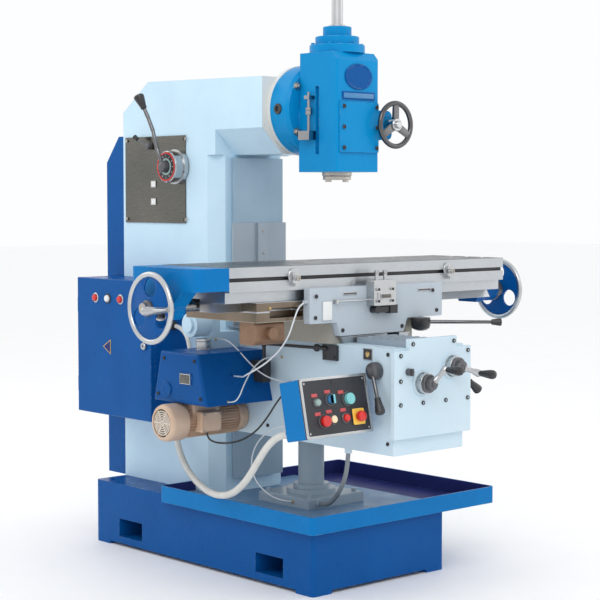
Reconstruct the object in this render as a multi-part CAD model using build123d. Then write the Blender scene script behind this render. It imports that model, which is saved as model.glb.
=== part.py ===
from build123d import *
from math import cos, pi, radians, sin, tan
import os

# Knee-type vertical milling machine, in millimetres.
# Frame: origin on the floor under the middle of the base, +X to the operator's right,
# -Y towards the operator, +Z up. The machine stands with its joints at mid positions.

# ---- clearances ----
gap = 0.3            # between pieces of different bodies that pass or face each other
run_fit = 0.05       # radial, a shaft turning or sliding in its bore

# ---- base and tray ----
base_width = 570.0
base_length = 1120.0
base_height = 215.0
base_wall = 24.0
foot_relief = 11.0
foot_size = 78.0
fork_width = 130.0
fork_low = 34.0
fork_high = 96.0
fork_reach = 360.0       # fork channels in front of and behind the middle
anchor_bore = 20.0
anchor_inset = 42.0
tray_side = 220.0        # pan beyond the right side of the base
tray_lip = 22.0          # rim beyond the base
tray_wall = 5.0
tray_low = 193.0
tray_high = 247.0
tray_back = 165.0        # y of the rear rim

# ---- column ----
column_width = 320.0
column_depth = 510.0
column_top = 1590.0
column_wall = 22.0
corner_chamfer = 42.0
rear_slope_run = 145.0
rear_slope_fall = 100.0
neck_reach = 235.0       # neck beyond the column front
neck_low = 1335.0
neck_corner = 82.0
neck_drop = 12.0
way_width = 216.0        # knee ways on the column front
way_depth = 28.0
way_flare = 18.0
way_low = 262.0
web_back = 150.0         # inner web that carries the drive shaft, behind the column front
cover_depth = 100.0
cover_low = 218.0
cover_fall = 182.0       # from the column top to the cover top
cover_wall = 4.0

# ---- head and spindle ----
spindle_reach = 410.0    # spindle axis in front of the column
swivel_height = 1473.0
swivel_radius = 143.0
ring_thick = 18.0
flange_thick = 78.0
head_width = 180.0
head_low = 1275.0
head_high = 1645.0
head_front = 95.0        # front face in front of the spindle axis
quill_radius = 47.0
quill_low = 1262.0
quill_length = 190.0
nose_radius = 44.44      # 40-taper nose
nose_drop = 11.0
nose_bolt_circle = 66.7
nose_bolt_radius = 7.0
taper_mouth = 44.45      # diameter at the spindle face
taper_depth = 93.4
taper_ratio = 7.0 / 24.0
spindle_radius = 20.0
drawbar_radius = 8.0
cap_radii = (87.0, 69.0, 45.0)
cap_heights = (26.0, 26.0, 31.0)
guard_radius = 18.0
guard_height = 100.0
drive_radius = 20.0
quill_wheel_radius = 75.0
quill_wheel_out = 38.0   # beyond the head's side
quill_wheel_drop = 50.0  # below the swivel axis

# ---- table ----
table_length = 1182.0
table_offset = 19.0      # table middle to the right of the spindle
table_width = 320.0
table_thick = 73.0
table_top = 995.0
skirt_depth = 32.0
skirt_inset = 20.0
tongue_depth = 28.0
tongue_width = 170.0     # at the root; it flares by way_flare each side
slot_width = 14.0
slot_neck = 14.0
slot_tee = 25.0
slot_tee_height = 10.0
slot_pitch = 70.0
gutter_width = 22.0
gutter_depth = 9.0
dog_slot_height = 11.0
dog_slot_depth = 10.0
dog_places = (-328.0, 339.0)
screw_radius = 16.0
screw_drop = 116.0       # table top to screw axis
bracket_length = 118.0
boss_radius = 38.0
wheel_radius = 105.0
wheel_reach = 161.0      # handwheel middle beyond the table end
rim_radius = 8.0

# ---- saddle ----
saddle_height = 137.0
saddle_left = 470.0
saddle_right = 287.0
saddle_back = 170.0      # behind the spindle axis
saddle_core = 176.0      # half width of the part that straddles the knee
apron_thick = 25.0
apron_drop = 70.0
apron_left = 285.0

# ---- knee ----
knee_width = 300.0
knee_length = 815.0
knee_height = 317.0
knee_wall = 22.0
rail_height = 22.0
rail_flare = 14.0
rail_width = 296.0
plate_thick = 15.0
plate_width = 330.0
plate_step = 50.0        # from the knee bottom to the lower edge of the plate
plate_tab = 27.0
plate_tab_width = 204.0
guard_plate_height = 359.0
guard_plate_width = 230.0
lift_radius = 25.0
nut_radius = 42.0
nut_top = 470.0
nut_collar = 80.0
nut_block = 240.0
nut_reach = 290.0        # screw axis in front of the column
nut_x = 0.0

# ---- knee controls ----
cross_x = 75.0
cross_drop = 63.0        # below the knee's top
lift_x = -52.0
lift_drop = 105.0
dial_radius = 31.0
crank_radius = 52.0       # short enough for the two cranks to pass each other
rapid_x = -108.0
rapid_drop = 69.0

# ---- electrics ----
cabinet_depth = 165.0
cabinet_setback = 137.0  # behind the column front
cabinet_overhang = 48.0  # beyond the column back
cabinet_low = 456.0
cabinet_high = 920.0
cabinet_wall = 3.0
door_thick = 18.0
knuckle_radius = 6.0
panel_setback = 155.0
panel_inset = 17.0
panel_fall = 187.0       # column top to panel top
panel_height = 294.0
panel_thick = 4.0
dial_inset = 39.0
dial_fall = 105.0
pendant_width = 260.0
pendant_height = 172.0
pendant_depth = 88.0
pendant_tilt = -12.0
pendant_x = -320.0
pendant_setback = 65.0   # pendant face behind the knee's front
pendant_drop = 158.0     # pendant middle below the knee's top
button_stroke = 4.0

# ---- feed drive on the knee's left side ----
case_left = 420.0
case_length = 268.0
case_height = 160.0
case_drop = 41.0         # below the knee's top
feed_motor_radius = 59.0
feed_motor_left = 470.0
feed_motor_inset = 112.0 # motor axis in front of the column
bracket_inset = 76.0

# ---- hoses ----
conduit_radius = 11.0
grey_radius = 7.0
tube_radius = 2.5

# ---- places worked out from the sizes above ----
base_front = -base_length / 2
column_back = base_length / 2
column_front = column_back - column_depth
column_side = column_width / 2
spindle_y = column_front - spindle_reach
neck_front = column_front - neck_reach
flange_front = neck_front - ring_thick
head_back = flange_front - flange_thick
head_face = spindle_y - head_front
head_side = head_width / 2
way_front = column_front - way_depth
table_left = table_offset - table_length / 2
table_right = table_offset + table_length / 2
table_front = spindle_y - table_width / 2
table_under = table_top - table_thick
skirt_under = table_under - skirt_depth
tongue_under = skirt_under - tongue_depth
saddle_top = skirt_under - gap
knee_top = skirt_under - saddle_height
knee_low = knee_top - knee_height
knee_side = knee_width / 2
knee_front = column_front - knee_length
knee_back = column_front - gap
rail_top = knee_top + rail_height
apron_face = table_front - apron_thick
saddle_back_y = spindle_y + saddle_back
plate_face = knee_front - plate_thick
cap_top = head_high + sum(cap_heights)
web_y = column_front + web_back
cover_high = column_top - cover_fall
motor_z = column_top - 440
quill_wheel_x = head_side + quill_wheel_out
quill_wheel_z = swivel_height - quill_wheel_drop
gear_floor = swivel_height - 12
screw_height = table_top - screw_drop
nut_y = column_front - nut_reach
cross_z = knee_top - cross_drop
lift_z = knee_top - lift_drop
rapid_z = knee_top - rapid_drop
shelf_low = knee_top - 98
shelf_top = shelf_low + 25
cabinet_front = column_front + cabinet_setback
cabinet_back = column_back + cabinet_overhang
panel_front = column_front + panel_setback
panel_back = column_back - panel_inset
panel_high = column_top - panel_fall
panel_low = panel_high - panel_height
dial_y = panel_front + dial_inset
dial_z = panel_high - dial_fall
pendant_face_y = knee_front + pendant_setback
pendant_z = knee_top - pendant_drop
case_back = column_front - 4
case_front = case_back - case_length
case_high = knee_top - case_drop
case_low = case_high - case_height
feed_motor_y = column_front - feed_motor_inset
bracket_y = column_front - bracket_inset


def block(x0, x1, y0, y1, z0, z1):
    size = Box(x1 - x0, y1 - y0, z1 - z0)
    return Pos((x0 + x1) / 2, (y0 + y1) / 2, (z0 + z1) / 2) * size


def post(x, y, z0, z1, radius):
    return Pos(x, y, (z0 + z1) / 2) * Cylinder(radius, z1 - z0)


def bar_x(x0, x1, y, z, radius):
    return Pos((x0 + x1) / 2, y, z) * Rot(0, 90, 0) * Cylinder(radius, x1 - x0)


def bar_y(y0, y1, x, z, radius):
    return Pos(x, (y0 + y1) / 2, z) * Rot(90, 0, 0) * Cylinder(radius, y1 - y0)


def along_x(points, x0, x1):
    """Prism with the (y, z) outline given, from x0 to x1."""
    outline = Plane.YZ * Polygon(*points, align=None)
    return Pos(x0, 0, 0) * extrude(outline, amount=x1 - x0, dir=(1, 0, 0))


def along_y(points, y0, y1):
    """Prism with the (x, z) outline given, from y0 to y1."""
    outline = Plane.XZ * Polygon(*points, align=None)
    return Pos(0, y0, 0) * extrude(outline, amount=y1 - y0, dir=(0, 1, 0))


def along_z(points, z0, z1):
    """Prism with the (x, y) outline given, from z0 to z1."""
    outline = Polygon(*points, align=None)
    return Pos(0, 0, z0) * extrude(outline, amount=z1 - z0, dir=(0, 0, 1))


def between(start, end, radius, end_radius=None):
    """Round rod, tapered when end_radius is given, from one point to another."""
    a = Vector(*start)
    b = Vector(*end)
    length = (b - a).length
    plane = Plane(origin=a, z_dir=(b - a).normalized())
    if end_radius is None:
        rod = Cylinder(radius, length, align=(Align.CENTER, Align.CENTER, Align.MIN))
    else:
        rod = Cone(radius, end_radius, length, align=(Align.CENTER, Align.CENTER, Align.MIN))
    return plane * rod


def ball(x, y, z, radius):
    return Pos(x, y, z) * Sphere(radius)


def hose(name, points, radius):
    """Round hose through the points, with every corner as round as its two runs allow."""
    places = [Vector(*p) for p in points]
    radii = []
    for before, here, after in zip(places, places[1:], places[2:]):
        turn = radians((here - before).get_angle(after - here))
        run = min((here - before).length, (after - here).length)
        radii.append(0.45 * run / tan(turn / 2))
    path = FilletPolyline(*points, radius=radii)
    start = Plane(origin=path @ 0, z_dir=path % 0)
    solid = sweep(start * Circle(radius), path=path)
    share = solid.volume / (pi * radius**2 * path.length)
    print(name, "length", round(path.length), "radii", [round(r) for r in radii], "volume", round(share, 3))
    return solid


def save(node, shape):
    export_step(shape, f"parts/{node}.step")


# ---------------------------------------------------------------- base and tray

def base():
    half = base_width / 2
    body = block(-half, half, base_front, column_back, 0, base_height)
    body = fillet(body.edges().filter_by(Axis.Z), 12)
    inner = half - base_wall
    hollow = block(-inner, inner, base_front + base_wall, column_back - base_wall,
                   -1, base_height - base_wall)
    body -= hollow
    side = half - foot_size
    end = column_back - foot_size
    body -= block(-side, side, base_front - 1, column_back + 1, -1, foot_relief)
    body -= block(-half - 1, half + 1, -end, end, -1, foot_relief)
    for y in (-fork_reach, fork_reach):
        tunnel = block(-half, half, y - fork_width / 2 - 8, y + fork_width / 2 + 8,
                       fork_low - 8, fork_high + 8)
        body += tunnel
        body -= block(-half - 1, half + 1, y - fork_width / 2, y + fork_width / 2, fork_low, fork_high)
    for x in (-1, 1):
        for y in (base_front + anchor_inset, column_back - anchor_inset):
            place = x * (half - anchor_inset)
            pad = block(place - 28, place + 28, y - 28, y + 28, 0, 30)
            body += pad & block(-half, half, base_front, column_back, 0, 60)
            body -= post(place, y, -1, 31, anchor_bore / 2)
            body -= post(place, y, base_height - base_wall - 1, base_height + 1, anchor_bore / 2)
    body -= post(nut_x, nut_y, base_height - base_wall - 1, base_height + 1, lift_radius + 4)
    save("base", body)


def coolant_tray():
    half = base_width / 2
    left = -half - tray_lip - gap
    right = half + tray_side
    front = base_front - tray_lip
    pan = block(left, right, front, tray_back, tray_low, tray_high)
    pan = fillet(pan.edges().filter_by(Axis.Z), 14)
    inner = block(left + tray_wall, right - tray_wall, front + tray_wall, tray_back - tray_wall,
                  tray_low + tray_wall, tray_high + 1)
    inner = fillet(inner.edges().filter_by(Axis.Z), 10)
    pan -= inner
    pan -= block(-half, half, base_front, tray_back + 1, tray_low - 1, base_height)
    pan -= block(-column_side, column_side, column_front, tray_back + 1, base_height - 1, tray_high + 1)
    save("coolant_tray", pan)


def screw_column():
    """Standing nut column that the knee's elevating screw turns in."""
    half = nut_block / 2
    body = block(nut_x - half, nut_x + half, nut_y - half, nut_y + half, base_height, tray_high)
    body = chamfer(body.edges().group_by(Axis.Z)[-1], 3)
    body += post(nut_x, nut_y, tray_high, tray_high + 14, nut_collar)
    body += post(nut_x, nut_y, tray_high, tray_high + 28, nut_collar - 22)
    body += post(nut_x, nut_y, tray_high, nut_top, nut_radius)
    body -= post(nut_x, nut_y, base_height - 1, nut_top + 1, lift_radius + run_fit)
    for x in (-1, 1):
        for y in (-1, 1):
            spot = (nut_x + x * (half - 22), nut_y + y * (half - 22))
            body += Pos(spot[0], spot[1], tray_high + 5) * extrude(RegularPolygon(9, 6), 5, both=True)
    x, y, z = grey_route[-1]
    front = nut_y - half
    body += bar_y(front - 16, front, x, z, grey_radius + 4)
    body -= between((x, y + 1, z), grey_route[-2], grey_radius + gap)
    save("screw_column", body)


# ---------------------------------------------------------------- column

def column_outline(inset=0.0):
    low = base_height + inset
    front = column_front + inset
    back = column_back - inset
    top = column_top - inset
    nose = neck_front + inset
    under = neck_low + inset
    return [(front, low), (back, low), (back, column_top - rear_slope_fall - inset / 2),
            (column_back - rear_slope_run - inset / 3, top), (nose, top - neck_drop), (nose, under),
            (front, under)]


def column():
    body = along_x(column_outline(), -column_side, column_side)
    cavity_side = column_side - column_wall
    low = base_height + column_wall
    front = column_front + column_wall + 4
    cavity = block(-cavity_side, cavity_side, front, column_back - column_wall, low,
                   column_top - rear_slope_fall - column_wall)
    cavity += block(-cavity_side, cavity_side, front, column_back - rear_slope_run - column_wall, low,
                    column_top - neck_drop - column_wall)
    neck_side = column_side - neck_corner
    cavity += block(-neck_side, neck_side, neck_front + column_wall, front + 60,
                    neck_low + column_wall, column_top - neck_drop - column_wall)
    body -= cavity
    for side in (-1, 1):
        edge = side * column_side
        wedge = [(edge, neck_low + neck_corner), (edge - side * neck_corner, neck_low), (edge, neck_low)]
        body -= along_y(wedge, neck_front, column_front)
        corner = [(edge, column_front), (edge, column_front + corner_chamfer),
                  (edge - side * corner_chamfer, column_front)]
        body -= along_z(corner, base_height, neck_low)
    web = block(-cavity_side, cavity_side, web_y, web_y + column_wall,
                neck_low + 40, column_top - neck_drop - 1)
    body += web
    body += ways()
    body -= block(-110, 110, column_back - column_wall - 1, column_back + 1, 300, cover_high - 130)
    ring = bar_y(flange_front, neck_front + 1, 0, swivel_height, swivel_radius)
    ring = chamfer(ring.edges().group_by(Axis.Y)[0], 2)
    ring -= bar_y(flange_front - 1, neck_front, 0, swivel_height, 58)
    body += ring
    body -= bar_y(neck_front - 1, web_y + 60, 0, swivel_height, drive_radius + run_fit)
    save("column", body)


def ways():
    """Dovetail ways on the column front, wider in front than at the root."""
    half = way_width / 2
    root = half - way_flare
    outline = [(-half, way_front), (half, way_front),
               (root, column_front + 1), (-root, column_front + 1)]
    return along_z(outline, way_low, neck_low - 10)


def rear_cover():
    half = column_side
    back = column_back + cover_depth
    outline = [(column_back, cover_low), (back, cover_low),
               (back, cover_high - 90), (back - 73, cover_high),
               (column_back, cover_high)]
    shell = along_x(outline, -half, half)
    w = cover_wall
    inner = [(column_back - 1, cover_low + w), (back - w, cover_low + w),
             (back - w, cover_high - 90 - w / 2),
             (back - 73 - w / 2, cover_high - w), (column_back - 1, cover_high - w)]
    shell -= along_x(inner, -half + w, half - w)
    for row in range(8):
        z = cover_low + 120 + row * 18
        shell -= block(-70, 70, back - w - 1, back + 1, z, z + 7)
    for z in (cover_low + 60, (cover_low + cover_high) / 2, cover_high - 140):
        for x in (-half + 14, half - 14):
            shell += bar_y(back, back + 4, x, z, 7)
    save("rear_cover", shell)


def main_motor():
    z = motor_z
    front = column_back - 260
    flange = block(-120, 120, column_back - column_wall - 14, column_back - column_wall,
                   z - 120, z + 120)
    body = flange + bar_y(front, column_back - column_wall - 10, 0, z, 98)
    body += bar_y(front - 26, front, 0, z, 70)
    body += bar_y(column_back - column_wall - 10, column_back + 50, 0, z, 19)
    body += bar_y(column_back + 8, column_back + 52, 0, z, 62)
    save("main_motor", body)


def drive_shaft():
    """Shaft from the gear web through the neck to the head, on the swivel axis."""
    behind = web_y + column_wall
    shaft = bar_y(flange_front - 40, behind + 40, 0, swivel_height, drive_radius)
    shaft += bar_y(behind + 4, behind + 34, 0, swivel_height, 70)
    shaft += bar_y(flange_front - 56, flange_front - 34, 0, swivel_height, 30)
    save("drive_shaft", shaft)


# ---------------------------------------------------------------- head

def head_housing():
    front = head_face
    body = block(-head_side, head_side, front, head_back, head_low, head_high)
    body = fillet(body.edges().filter_by(Axis.Z), 8)
    slope = [(front - 1, head_high - 26), (front - 1, head_high + 1), (front + 24, head_high + 1)]
    body -= along_x(slope, -head_side - 1, head_side + 1)
    disc = bar_y(head_back - 1, flange_front - gap, 0, swivel_height, swivel_radius)
    disc = chamfer(disc.edges().group_by(Axis.Y)[0], 10)
    body += disc
    body += block(-head_side, head_side, head_back - 60, head_back, head_low, swivel_height)
    arm = block(head_side - 2, quill_wheel_x + 36, head_face + 16, head_face + 110,
                quill_wheel_z - 46, quill_wheel_z + 46)
    arm = fillet(arm.edges().filter_by(Axis.Y), 20)
    body += arm
    body += bar_y(head_face - 2, head_face + 18, quill_wheel_x, quill_wheel_z, 30)
    # quill bore from below, gear room above it, spindle way out of the top
    body -= post(0, spindle_y, head_low - 1, gear_floor + 1, quill_radius + run_fit)
    body -= post(0, spindle_y, gear_floor, head_high - 24, 66)
    body -= post(0, spindle_y, head_high - 25, head_high + 1, 40)
    body -= bar_y(spindle_y + 40, flange_front + 1, 0, swivel_height, 36)
    # quill pinion bore, from the handwheel to the rack
    body -= bar_y(head_face - 3, head_face + 60, quill_wheel_x, quill_wheel_z, 11 + run_fit)
    # stop slot in the left side
    body -= block(-head_side - 1, -head_side + 14, spindle_y - 14, spindle_y + 4,
                  head_low + 55, swivel_height + 67)
    save("head_housing", body)


def head_cover():
    half = head_side - 8
    low = head_low + 60
    high = swivel_height + 17
    plate = block(-half, half, head_face - 8, head_face, low, high)
    plate = fillet(plate.edges().filter_by(Axis.Y), 6)
    for x in (-half + 12, half - 12):
        for z in (low + 14, (low + high) / 2, high - 14):
            plate += bar_y(head_face - 12, head_face - 7, x, z, 6)
    save("head_cover", plate)


def top_cap():
    body = None
    z = head_high
    for radius, height in zip(cap_radii, cap_heights):
        step = post(0, spindle_y, z, z + height, radius)
        step = chamfer(step.edges().group_by(Axis.Z)[-1], 2)
        body = step if body is None else body + step
        z += height
    for turn in range(6):
        a = radians(60 * turn + 30)
        r = cap_radii[1] + 9
        body += post(r * cos(a), spindle_y + r * sin(a), head_high + cap_heights[0] - 1,
                     head_high + cap_heights[0] + 6, 6)
    body += post(0, spindle_y, cap_top - 1, cap_top + 6, guard_radius + 8)
    body += post(0, spindle_y, cap_top - 1, cap_top + guard_height, guard_radius)
    body -= post(0, spindle_y, cap_top - 7, cap_top + guard_height + 1, guard_radius - 3)
    body -= post(0, spindle_y, head_high - 1, cap_top - 6, spindle_radius + 2)
    save("top_cap", body)


def depth_stop():
    """Screw and brackets of the quill depth stop on the left of the head."""
    x = -head_side - 16
    y = spindle_y + 16
    z = swivel_height
    rod = post(x, y, z - 83, z + 49, 5)
    rod += block(-head_side - 26, -head_side, y - 11, y + 11, z + 27, z + 38)
    rod += block(-head_side - 30, -head_side, y - 16, y + 34, z - 99, z - 71)
    rod += post(x, y, z - 21, z - 9, 11)
    rod += post(x, y, z - 7, z + 1, 11)
    save("depth_stop", rod)


def quill():
    z1 = quill_low + quill_length
    body = post(0, spindle_y, quill_low, z1, quill_radius)
    body = chamfer(body.edges().group_by(Axis.Z)[0], 2)
    body -= post(0, spindle_y, quill_low - 1, z1 + 1, 34)
    save("quill", body)


def spindle():
    face = quill_low - nose_drop
    body = post(0, spindle_y, face, quill_low - gap, nose_radius)
    body += post(0, spindle_y, quill_low - gap - 1, quill_low + quill_length, 34 - run_fit)
    body += post(0, spindle_y, quill_low + quill_length - 1, cap_top - 8, spindle_radius)
    mouth = taper_mouth / 2
    end = mouth - taper_depth * taper_ratio / 2
    cone = Cone(mouth, end, taper_depth, align=(Align.CENTER, Align.CENTER, Align.MIN))
    body -= Pos(0, spindle_y, face) * cone
    body -= post(0, spindle_y, face, cap_top, drawbar_radius + 0.5)
    for turn in range(4):
        a = radians(45 + 90 * turn)
        r = nose_bolt_circle / 2
        body -= post(r * cos(a), spindle_y + r * sin(a), face - 1, face + 10, nose_bolt_radius)
    for side in (-1, 1):
        x = side * 37
        body += block(x - 6, x + 6, spindle_y - 8, spindle_y + 8, face - 7, face + 4)
    save("spindle", body)


def drawbar():
    face = quill_low - nose_drop
    top = cap_top + guard_height - 22
    bar = post(0, spindle_y, face + taper_depth, top, drawbar_radius)
    bar += post(0, spindle_y, cap_top - 8, cap_top - 2, spindle_radius - 6)
    head = extrude(RegularPolygon(12, 6), amount=18)
    bar += Pos(0, spindle_y, top) * head
    save("drawbar", bar)


def drive_gear():
    """Bevel gear sleeve that turns the spindle and lets it slide."""
    z = swivel_height + 41
    gear = post(0, spindle_y, z, z + 16, 60)
    gear += Pos(0, spindle_y, z - 7) * Cone(48, 60, 14)
    gear += post(0, spindle_y, z - 14, z + 86, 31)
    gear -= post(0, spindle_y, z - 15, z + 87, spindle_radius + run_fit)
    save("drive_gear", gear)


def quill_wheel():
    y1 = head_face - 2 - gap
    y = y1 - 34
    rim = Pos(quill_wheel_x, y, quill_wheel_z) * Rot(90, 0, 0) * Torus(quill_wheel_radius - 7, 7)
    wheel = rim + bar_y(y - 14, y1, quill_wheel_x, quill_wheel_z, 17)
    for turn in range(3):
        a = radians(90 + 120 * turn)
        tip = quill_wheel_radius - 7
        wheel += between((quill_wheel_x + 10 * cos(a), y + 4, quill_wheel_z + 10 * sin(a)),
                         (quill_wheel_x + tip * cos(a), y, quill_wheel_z + tip * sin(a)), 7)
    wheel += bar_y(y1 - 1, head_face + 52, quill_wheel_x, quill_wheel_z, 11)
    save("quill_wheel", wheel)


# ---------------------------------------------------------------- table

def tee_slot(y):
    deep = table_top - slot_neck
    slot = block(table_left - 1, table_right + 1, y - slot_width / 2, y + slot_width / 2,
                 deep, table_top + 1)
    slot += block(table_left - 1, table_right + 1, y - slot_tee / 2, y + slot_tee / 2,
                  deep - slot_tee_height, deep)
    return slot


def tongue(grow, drop):
    """Table tongue outline, wider below; grow and drop open it up for the saddle's slot."""
    root = tongue_width / 2 + grow
    foot = root + way_flare
    return [(spindle_y - root, skirt_under + 1), (spindle_y - foot, tongue_under - drop),
            (spindle_y + foot, tongue_under - drop), (spindle_y + root, skirt_under + 1)]


def table():
    half = table_width / 2
    body = block(table_left, table_right, spindle_y - half, spindle_y + half, table_under, table_top)
    inset = half - skirt_inset
    body += block(table_left, table_right, spindle_y - inset, spindle_y + inset,
                  skirt_under, table_under)
    body += along_x(tongue(0, 0), table_left, table_right)
    for row in (-1, 0, 1):
        body -= tee_slot(spindle_y + row * slot_pitch)
    for side in (-1, 1):
        y = spindle_y + side * (half - 16 - gutter_width / 2)
        body -= block(table_left + 30, table_right - 30, y - gutter_width / 2, y + gutter_width / 2,
                      table_top - gutter_depth, table_top + 1)
    for x in (table_left + 18, table_right - 18):
        body -= block(x - 11, x + 11, table_front + 14, spindle_y + half - 14,
                      table_top - gutter_depth, table_top + 1)
    z = (table_top + table_under) / 2
    body -= block(table_left - 1, table_right + 1, table_front - 1, table_front + dog_slot_depth,
                  z - dog_slot_height / 2, z + dog_slot_height / 2)
    body -= block(table_left - 1, table_right + 1, spindle_y - 24, spindle_y + 24,
                  tongue_under - 1, screw_height + screw_radius + 5)
    save("table", body)


def table_dogs():
    """Trip dogs held in the slot on the table's front."""
    dogs = Compound(children=[dog(x) for x in dog_places])
    save("table_dogs", dogs)


def dog(x):
    z = (table_top + table_under) / 2
    front = table_front - 16
    body = block(x - 15, x + 15, front, table_front, z - 16, z + 16)
    body = chamfer(body.edges().filter_by(Axis.Y), 4)
    body += block(x - 12, x + 12, table_front - 1, table_front + dog_slot_depth - gap,
                  z - dog_slot_height / 2 + gap, z + dog_slot_height / 2 - gap)
    body += bar_y(front - 7, front + 1, x, z, 7)
    body += block(x - 5, x + 5, front, table_front, z - 24, z - 14)
    return body


def left_bracket():
    """Screw bracket that caps the table's left end."""
    out = table_left - bracket_length
    half = table_width / 2
    body = block(out, table_left, spindle_y - half, spindle_y + half, table_under + 6, table_top - 1)
    body = fillet(body.edges().filter_by(Axis.Z).group_by(Axis.X)[0], 26)
    body -= block(out + 14, table_left - 14, spindle_y - half + 14, spindle_y + half - 14,
                  table_under - 1, table_top - 14)
    inside = out + 56
    low = screw_height
    body += bar_x(out, inside, spindle_y, low, boss_radius)
    web = [(spindle_y - boss_radius, low), (spindle_y + boss_radius, low),
           (spindle_y + 96, table_under + 8),
           (spindle_y - 96, table_under + 8)]
    body += along_x(web, out, inside)
    body += block(out, inside, spindle_y - 60, spindle_y + 60, table_under, table_top - 10)
    body -= bar_x(out - 1, inside + 1, spindle_y, low, screw_radius + run_fit)
    save("left_bracket", body)


def right_bracket():
    """Low screw bracket under the table's right end, its top level with the skirt."""
    out = table_right + bracket_length
    low = screw_height
    flange = [(spindle_y - boss_radius - 34, table_under + 12),
              (spindle_y - boss_radius - 34, table_under - 20),
              (spindle_y - boss_radius, low - boss_radius), (spindle_y + boss_radius, low - boss_radius),
              (spindle_y + boss_radius + 34, table_under - 20),
              (spindle_y + boss_radius + 34, table_under + 12)]
    body = along_x(flange, table_right, table_right + 34)
    body = fillet(body.edges().group_by(Axis.X)[-1], 5)
    body += bar_x(table_right, out, spindle_y, low, boss_radius)
    rib = block(table_right, out - 30, spindle_y - 9, spindle_y + 9, low, table_under + 6)
    body += rib
    body -= bar_x(table_right - 1, out + 1, spindle_y, low, screw_radius + run_fit)
    save("right_bracket", body)


def table_screw():
    reach = wheel_reach + 30
    body = bar_x(table_left - reach, table_right + reach, spindle_y, screw_height, screw_radius)
    save("table_screw", body)


def handwheels():
    """Handwheels with a pierced web, clutch hub and tapered handle, on both ends of the table screw."""
    x = table_left - wheel_reach
    z = screw_height
    rim_middle = wheel_radius - rim_radius
    wheel = bar_x(x - 5, x + 5, spindle_y, z, rim_middle)
    for turn in range(3):
        a = radians(30 + 120 * turn)
        wheel -= bar_x(x - 6, x + 6, spindle_y + 60 * cos(a), z + 60 * sin(a), 27)
    wheel += Pos(x, spindle_y, z) * Rot(0, 90, 0) * Torus(rim_middle, rim_radius)
    inside = table_left - bracket_length - gap
    wheel += bar_x(x - 22, inside, spindle_y, z, 25)
    wheel += bar_x(inside - 9, inside, spindle_y, z, boss_radius - 3)
    handle_y = spindle_y - rim_middle + 6
    wheel += between((x, handle_y, z), (x - 88, handle_y, z), 8, 13)
    wheel += ball(x - 86, handle_y, z, 13)
    wheel -= bar_x(x - 60, inside + 1, spindle_y, z, screw_radius)
    save("left_wheel", wheel)
    axis = Axis((0, spindle_y, z), (1, 0, 0))
    save("right_wheel", mirror(wheel, about=Plane.YZ.offset(table_offset)).rotate(axis, 180))


# ---------------------------------------------------------------- saddle

def saddle():
    back = saddle_back_y
    front = table_front
    deck = block(-saddle_left, saddle_right, front, back, knee_top + 78, saddle_top)
    core = block(-saddle_core, saddle_core, front, back, knee_top + gap, knee_top + 80)
    body = deck + core
    # slot for the table's tongue, groove for its screw
    body -= along_x(tongue(gap, gap), -saddle_left - 1, saddle_right + 1)
    body -= block(-saddle_left - 1, saddle_right + 1, spindle_y - 23, spindle_y + 23,
                  screw_height - screw_radius - 5, saddle_top + 1)
    body -= along_y(rail_outline(gap), front - 1, back + 1)
    # pocket in the left end
    body -= block(-saddle_left + 50, -saddle_left + 182, front - 1, front + 50,
                  knee_top + 90, knee_top + 119)
    # nut block on the table screw
    nut = block(-55, 55, spindle_y - 22, spindle_y + 22, screw_height - 35, screw_height + 14)
    nut -= bar_x(-60, 60, spindle_y, screw_height, screw_radius + run_fit)
    body += nut
    # nut that hangs through the knee's slot onto the cross screw
    y = spindle_y
    body += block(cross_x - 22, cross_x + 22, y - 30, y + 30, cross_z - 26, rail_top + 2)
    body -= bar_y(y - 31, y + 31, cross_x, cross_z, 14 + run_fit)
    save("saddle", body)


def saddle_apron():
    face = apron_face
    low = saddle_top - apron_drop
    body = block(-apron_left, saddle_right, face, table_front, low, table_under + 4)
    body = fillet(body.edges().filter_by(Axis.Y), 5)
    drop = [(-175, low + 1), (130, low + 1), (112, low - 42), (-160, low - 42)]
    body += along_y(drop, face, table_front)
    body += block(-235, -196, face - 3, face, low + 8, low + 66)
    body += bar_y(face - 4, face + 1, 240, table_under - 20, 6)
    body += bar_y(face - 4, face + 1, -262, table_under - 20, 6)
    x, y, z = tube_route[0]
    body += bar_x(-apron_left - 12, -apron_left, y, z, 6)
    body -= between((x + 1, y, z), tube_route[1], tube_radius + gap)
    save("saddle_apron", body)


def trip_box():
    y0 = apron_face - 34
    low = saddle_top - 24
    body = block(-50, 45, y0, apron_face, low, low + 78)
    body = fillet(body.edges().filter_by(Axis.Y), 5)
    body += block(-34, 28, y0 - 3, y0, low + 18, low + 40)
    for x in (-34, 26):
        for z in (low + 14, low + 50):
            body += bar_y(y0 - 5, y0 + 1, x, z, 3.5)
    for x in (-24, 12):
        body += post(x, apron_face - 18, low + 77, low + 100, 6)
    body += bar_x(-186, -49, apron_face - 12, low + 18, 3)
    body += block(-190, -182, apron_face - 18, apron_face, low + 12, low + 24)
    save("trip_box", body)


def trip_lever():
    y1 = apron_face - gap
    z = saddle_top - 37
    body = bar_y(y1 - 26, y1, -26, z, 11)
    body += block(-26, 52, y1 - 24, y1 - 8, z - 9, z + 9)
    body += block(26, 58, y1 - 28, y1 - 4, z - 13, z + 13)
    save("trip_lever", body)


def feed_lever():
    x = 173
    y = apron_face - 16
    low = saddle_top - apron_drop
    body = post(x, y, low - 42, low - gap, 31)
    body = fillet(body.edges().group_by(Axis.Z)[-1], 6)
    a = radians(-45)
    z = low - 14
    tip = (x + 225 * cos(a), y + 225 * sin(a), z)
    body += between((x + 20 * cos(a), y + 20 * sin(a), z), tip, 6, 5)
    body += between((x + 222 * cos(a), y + 222 * sin(a), z),
                    (x + 252 * cos(a), y + 252 * sin(a), z), 9, 12)
    save("feed_lever", body)


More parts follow.
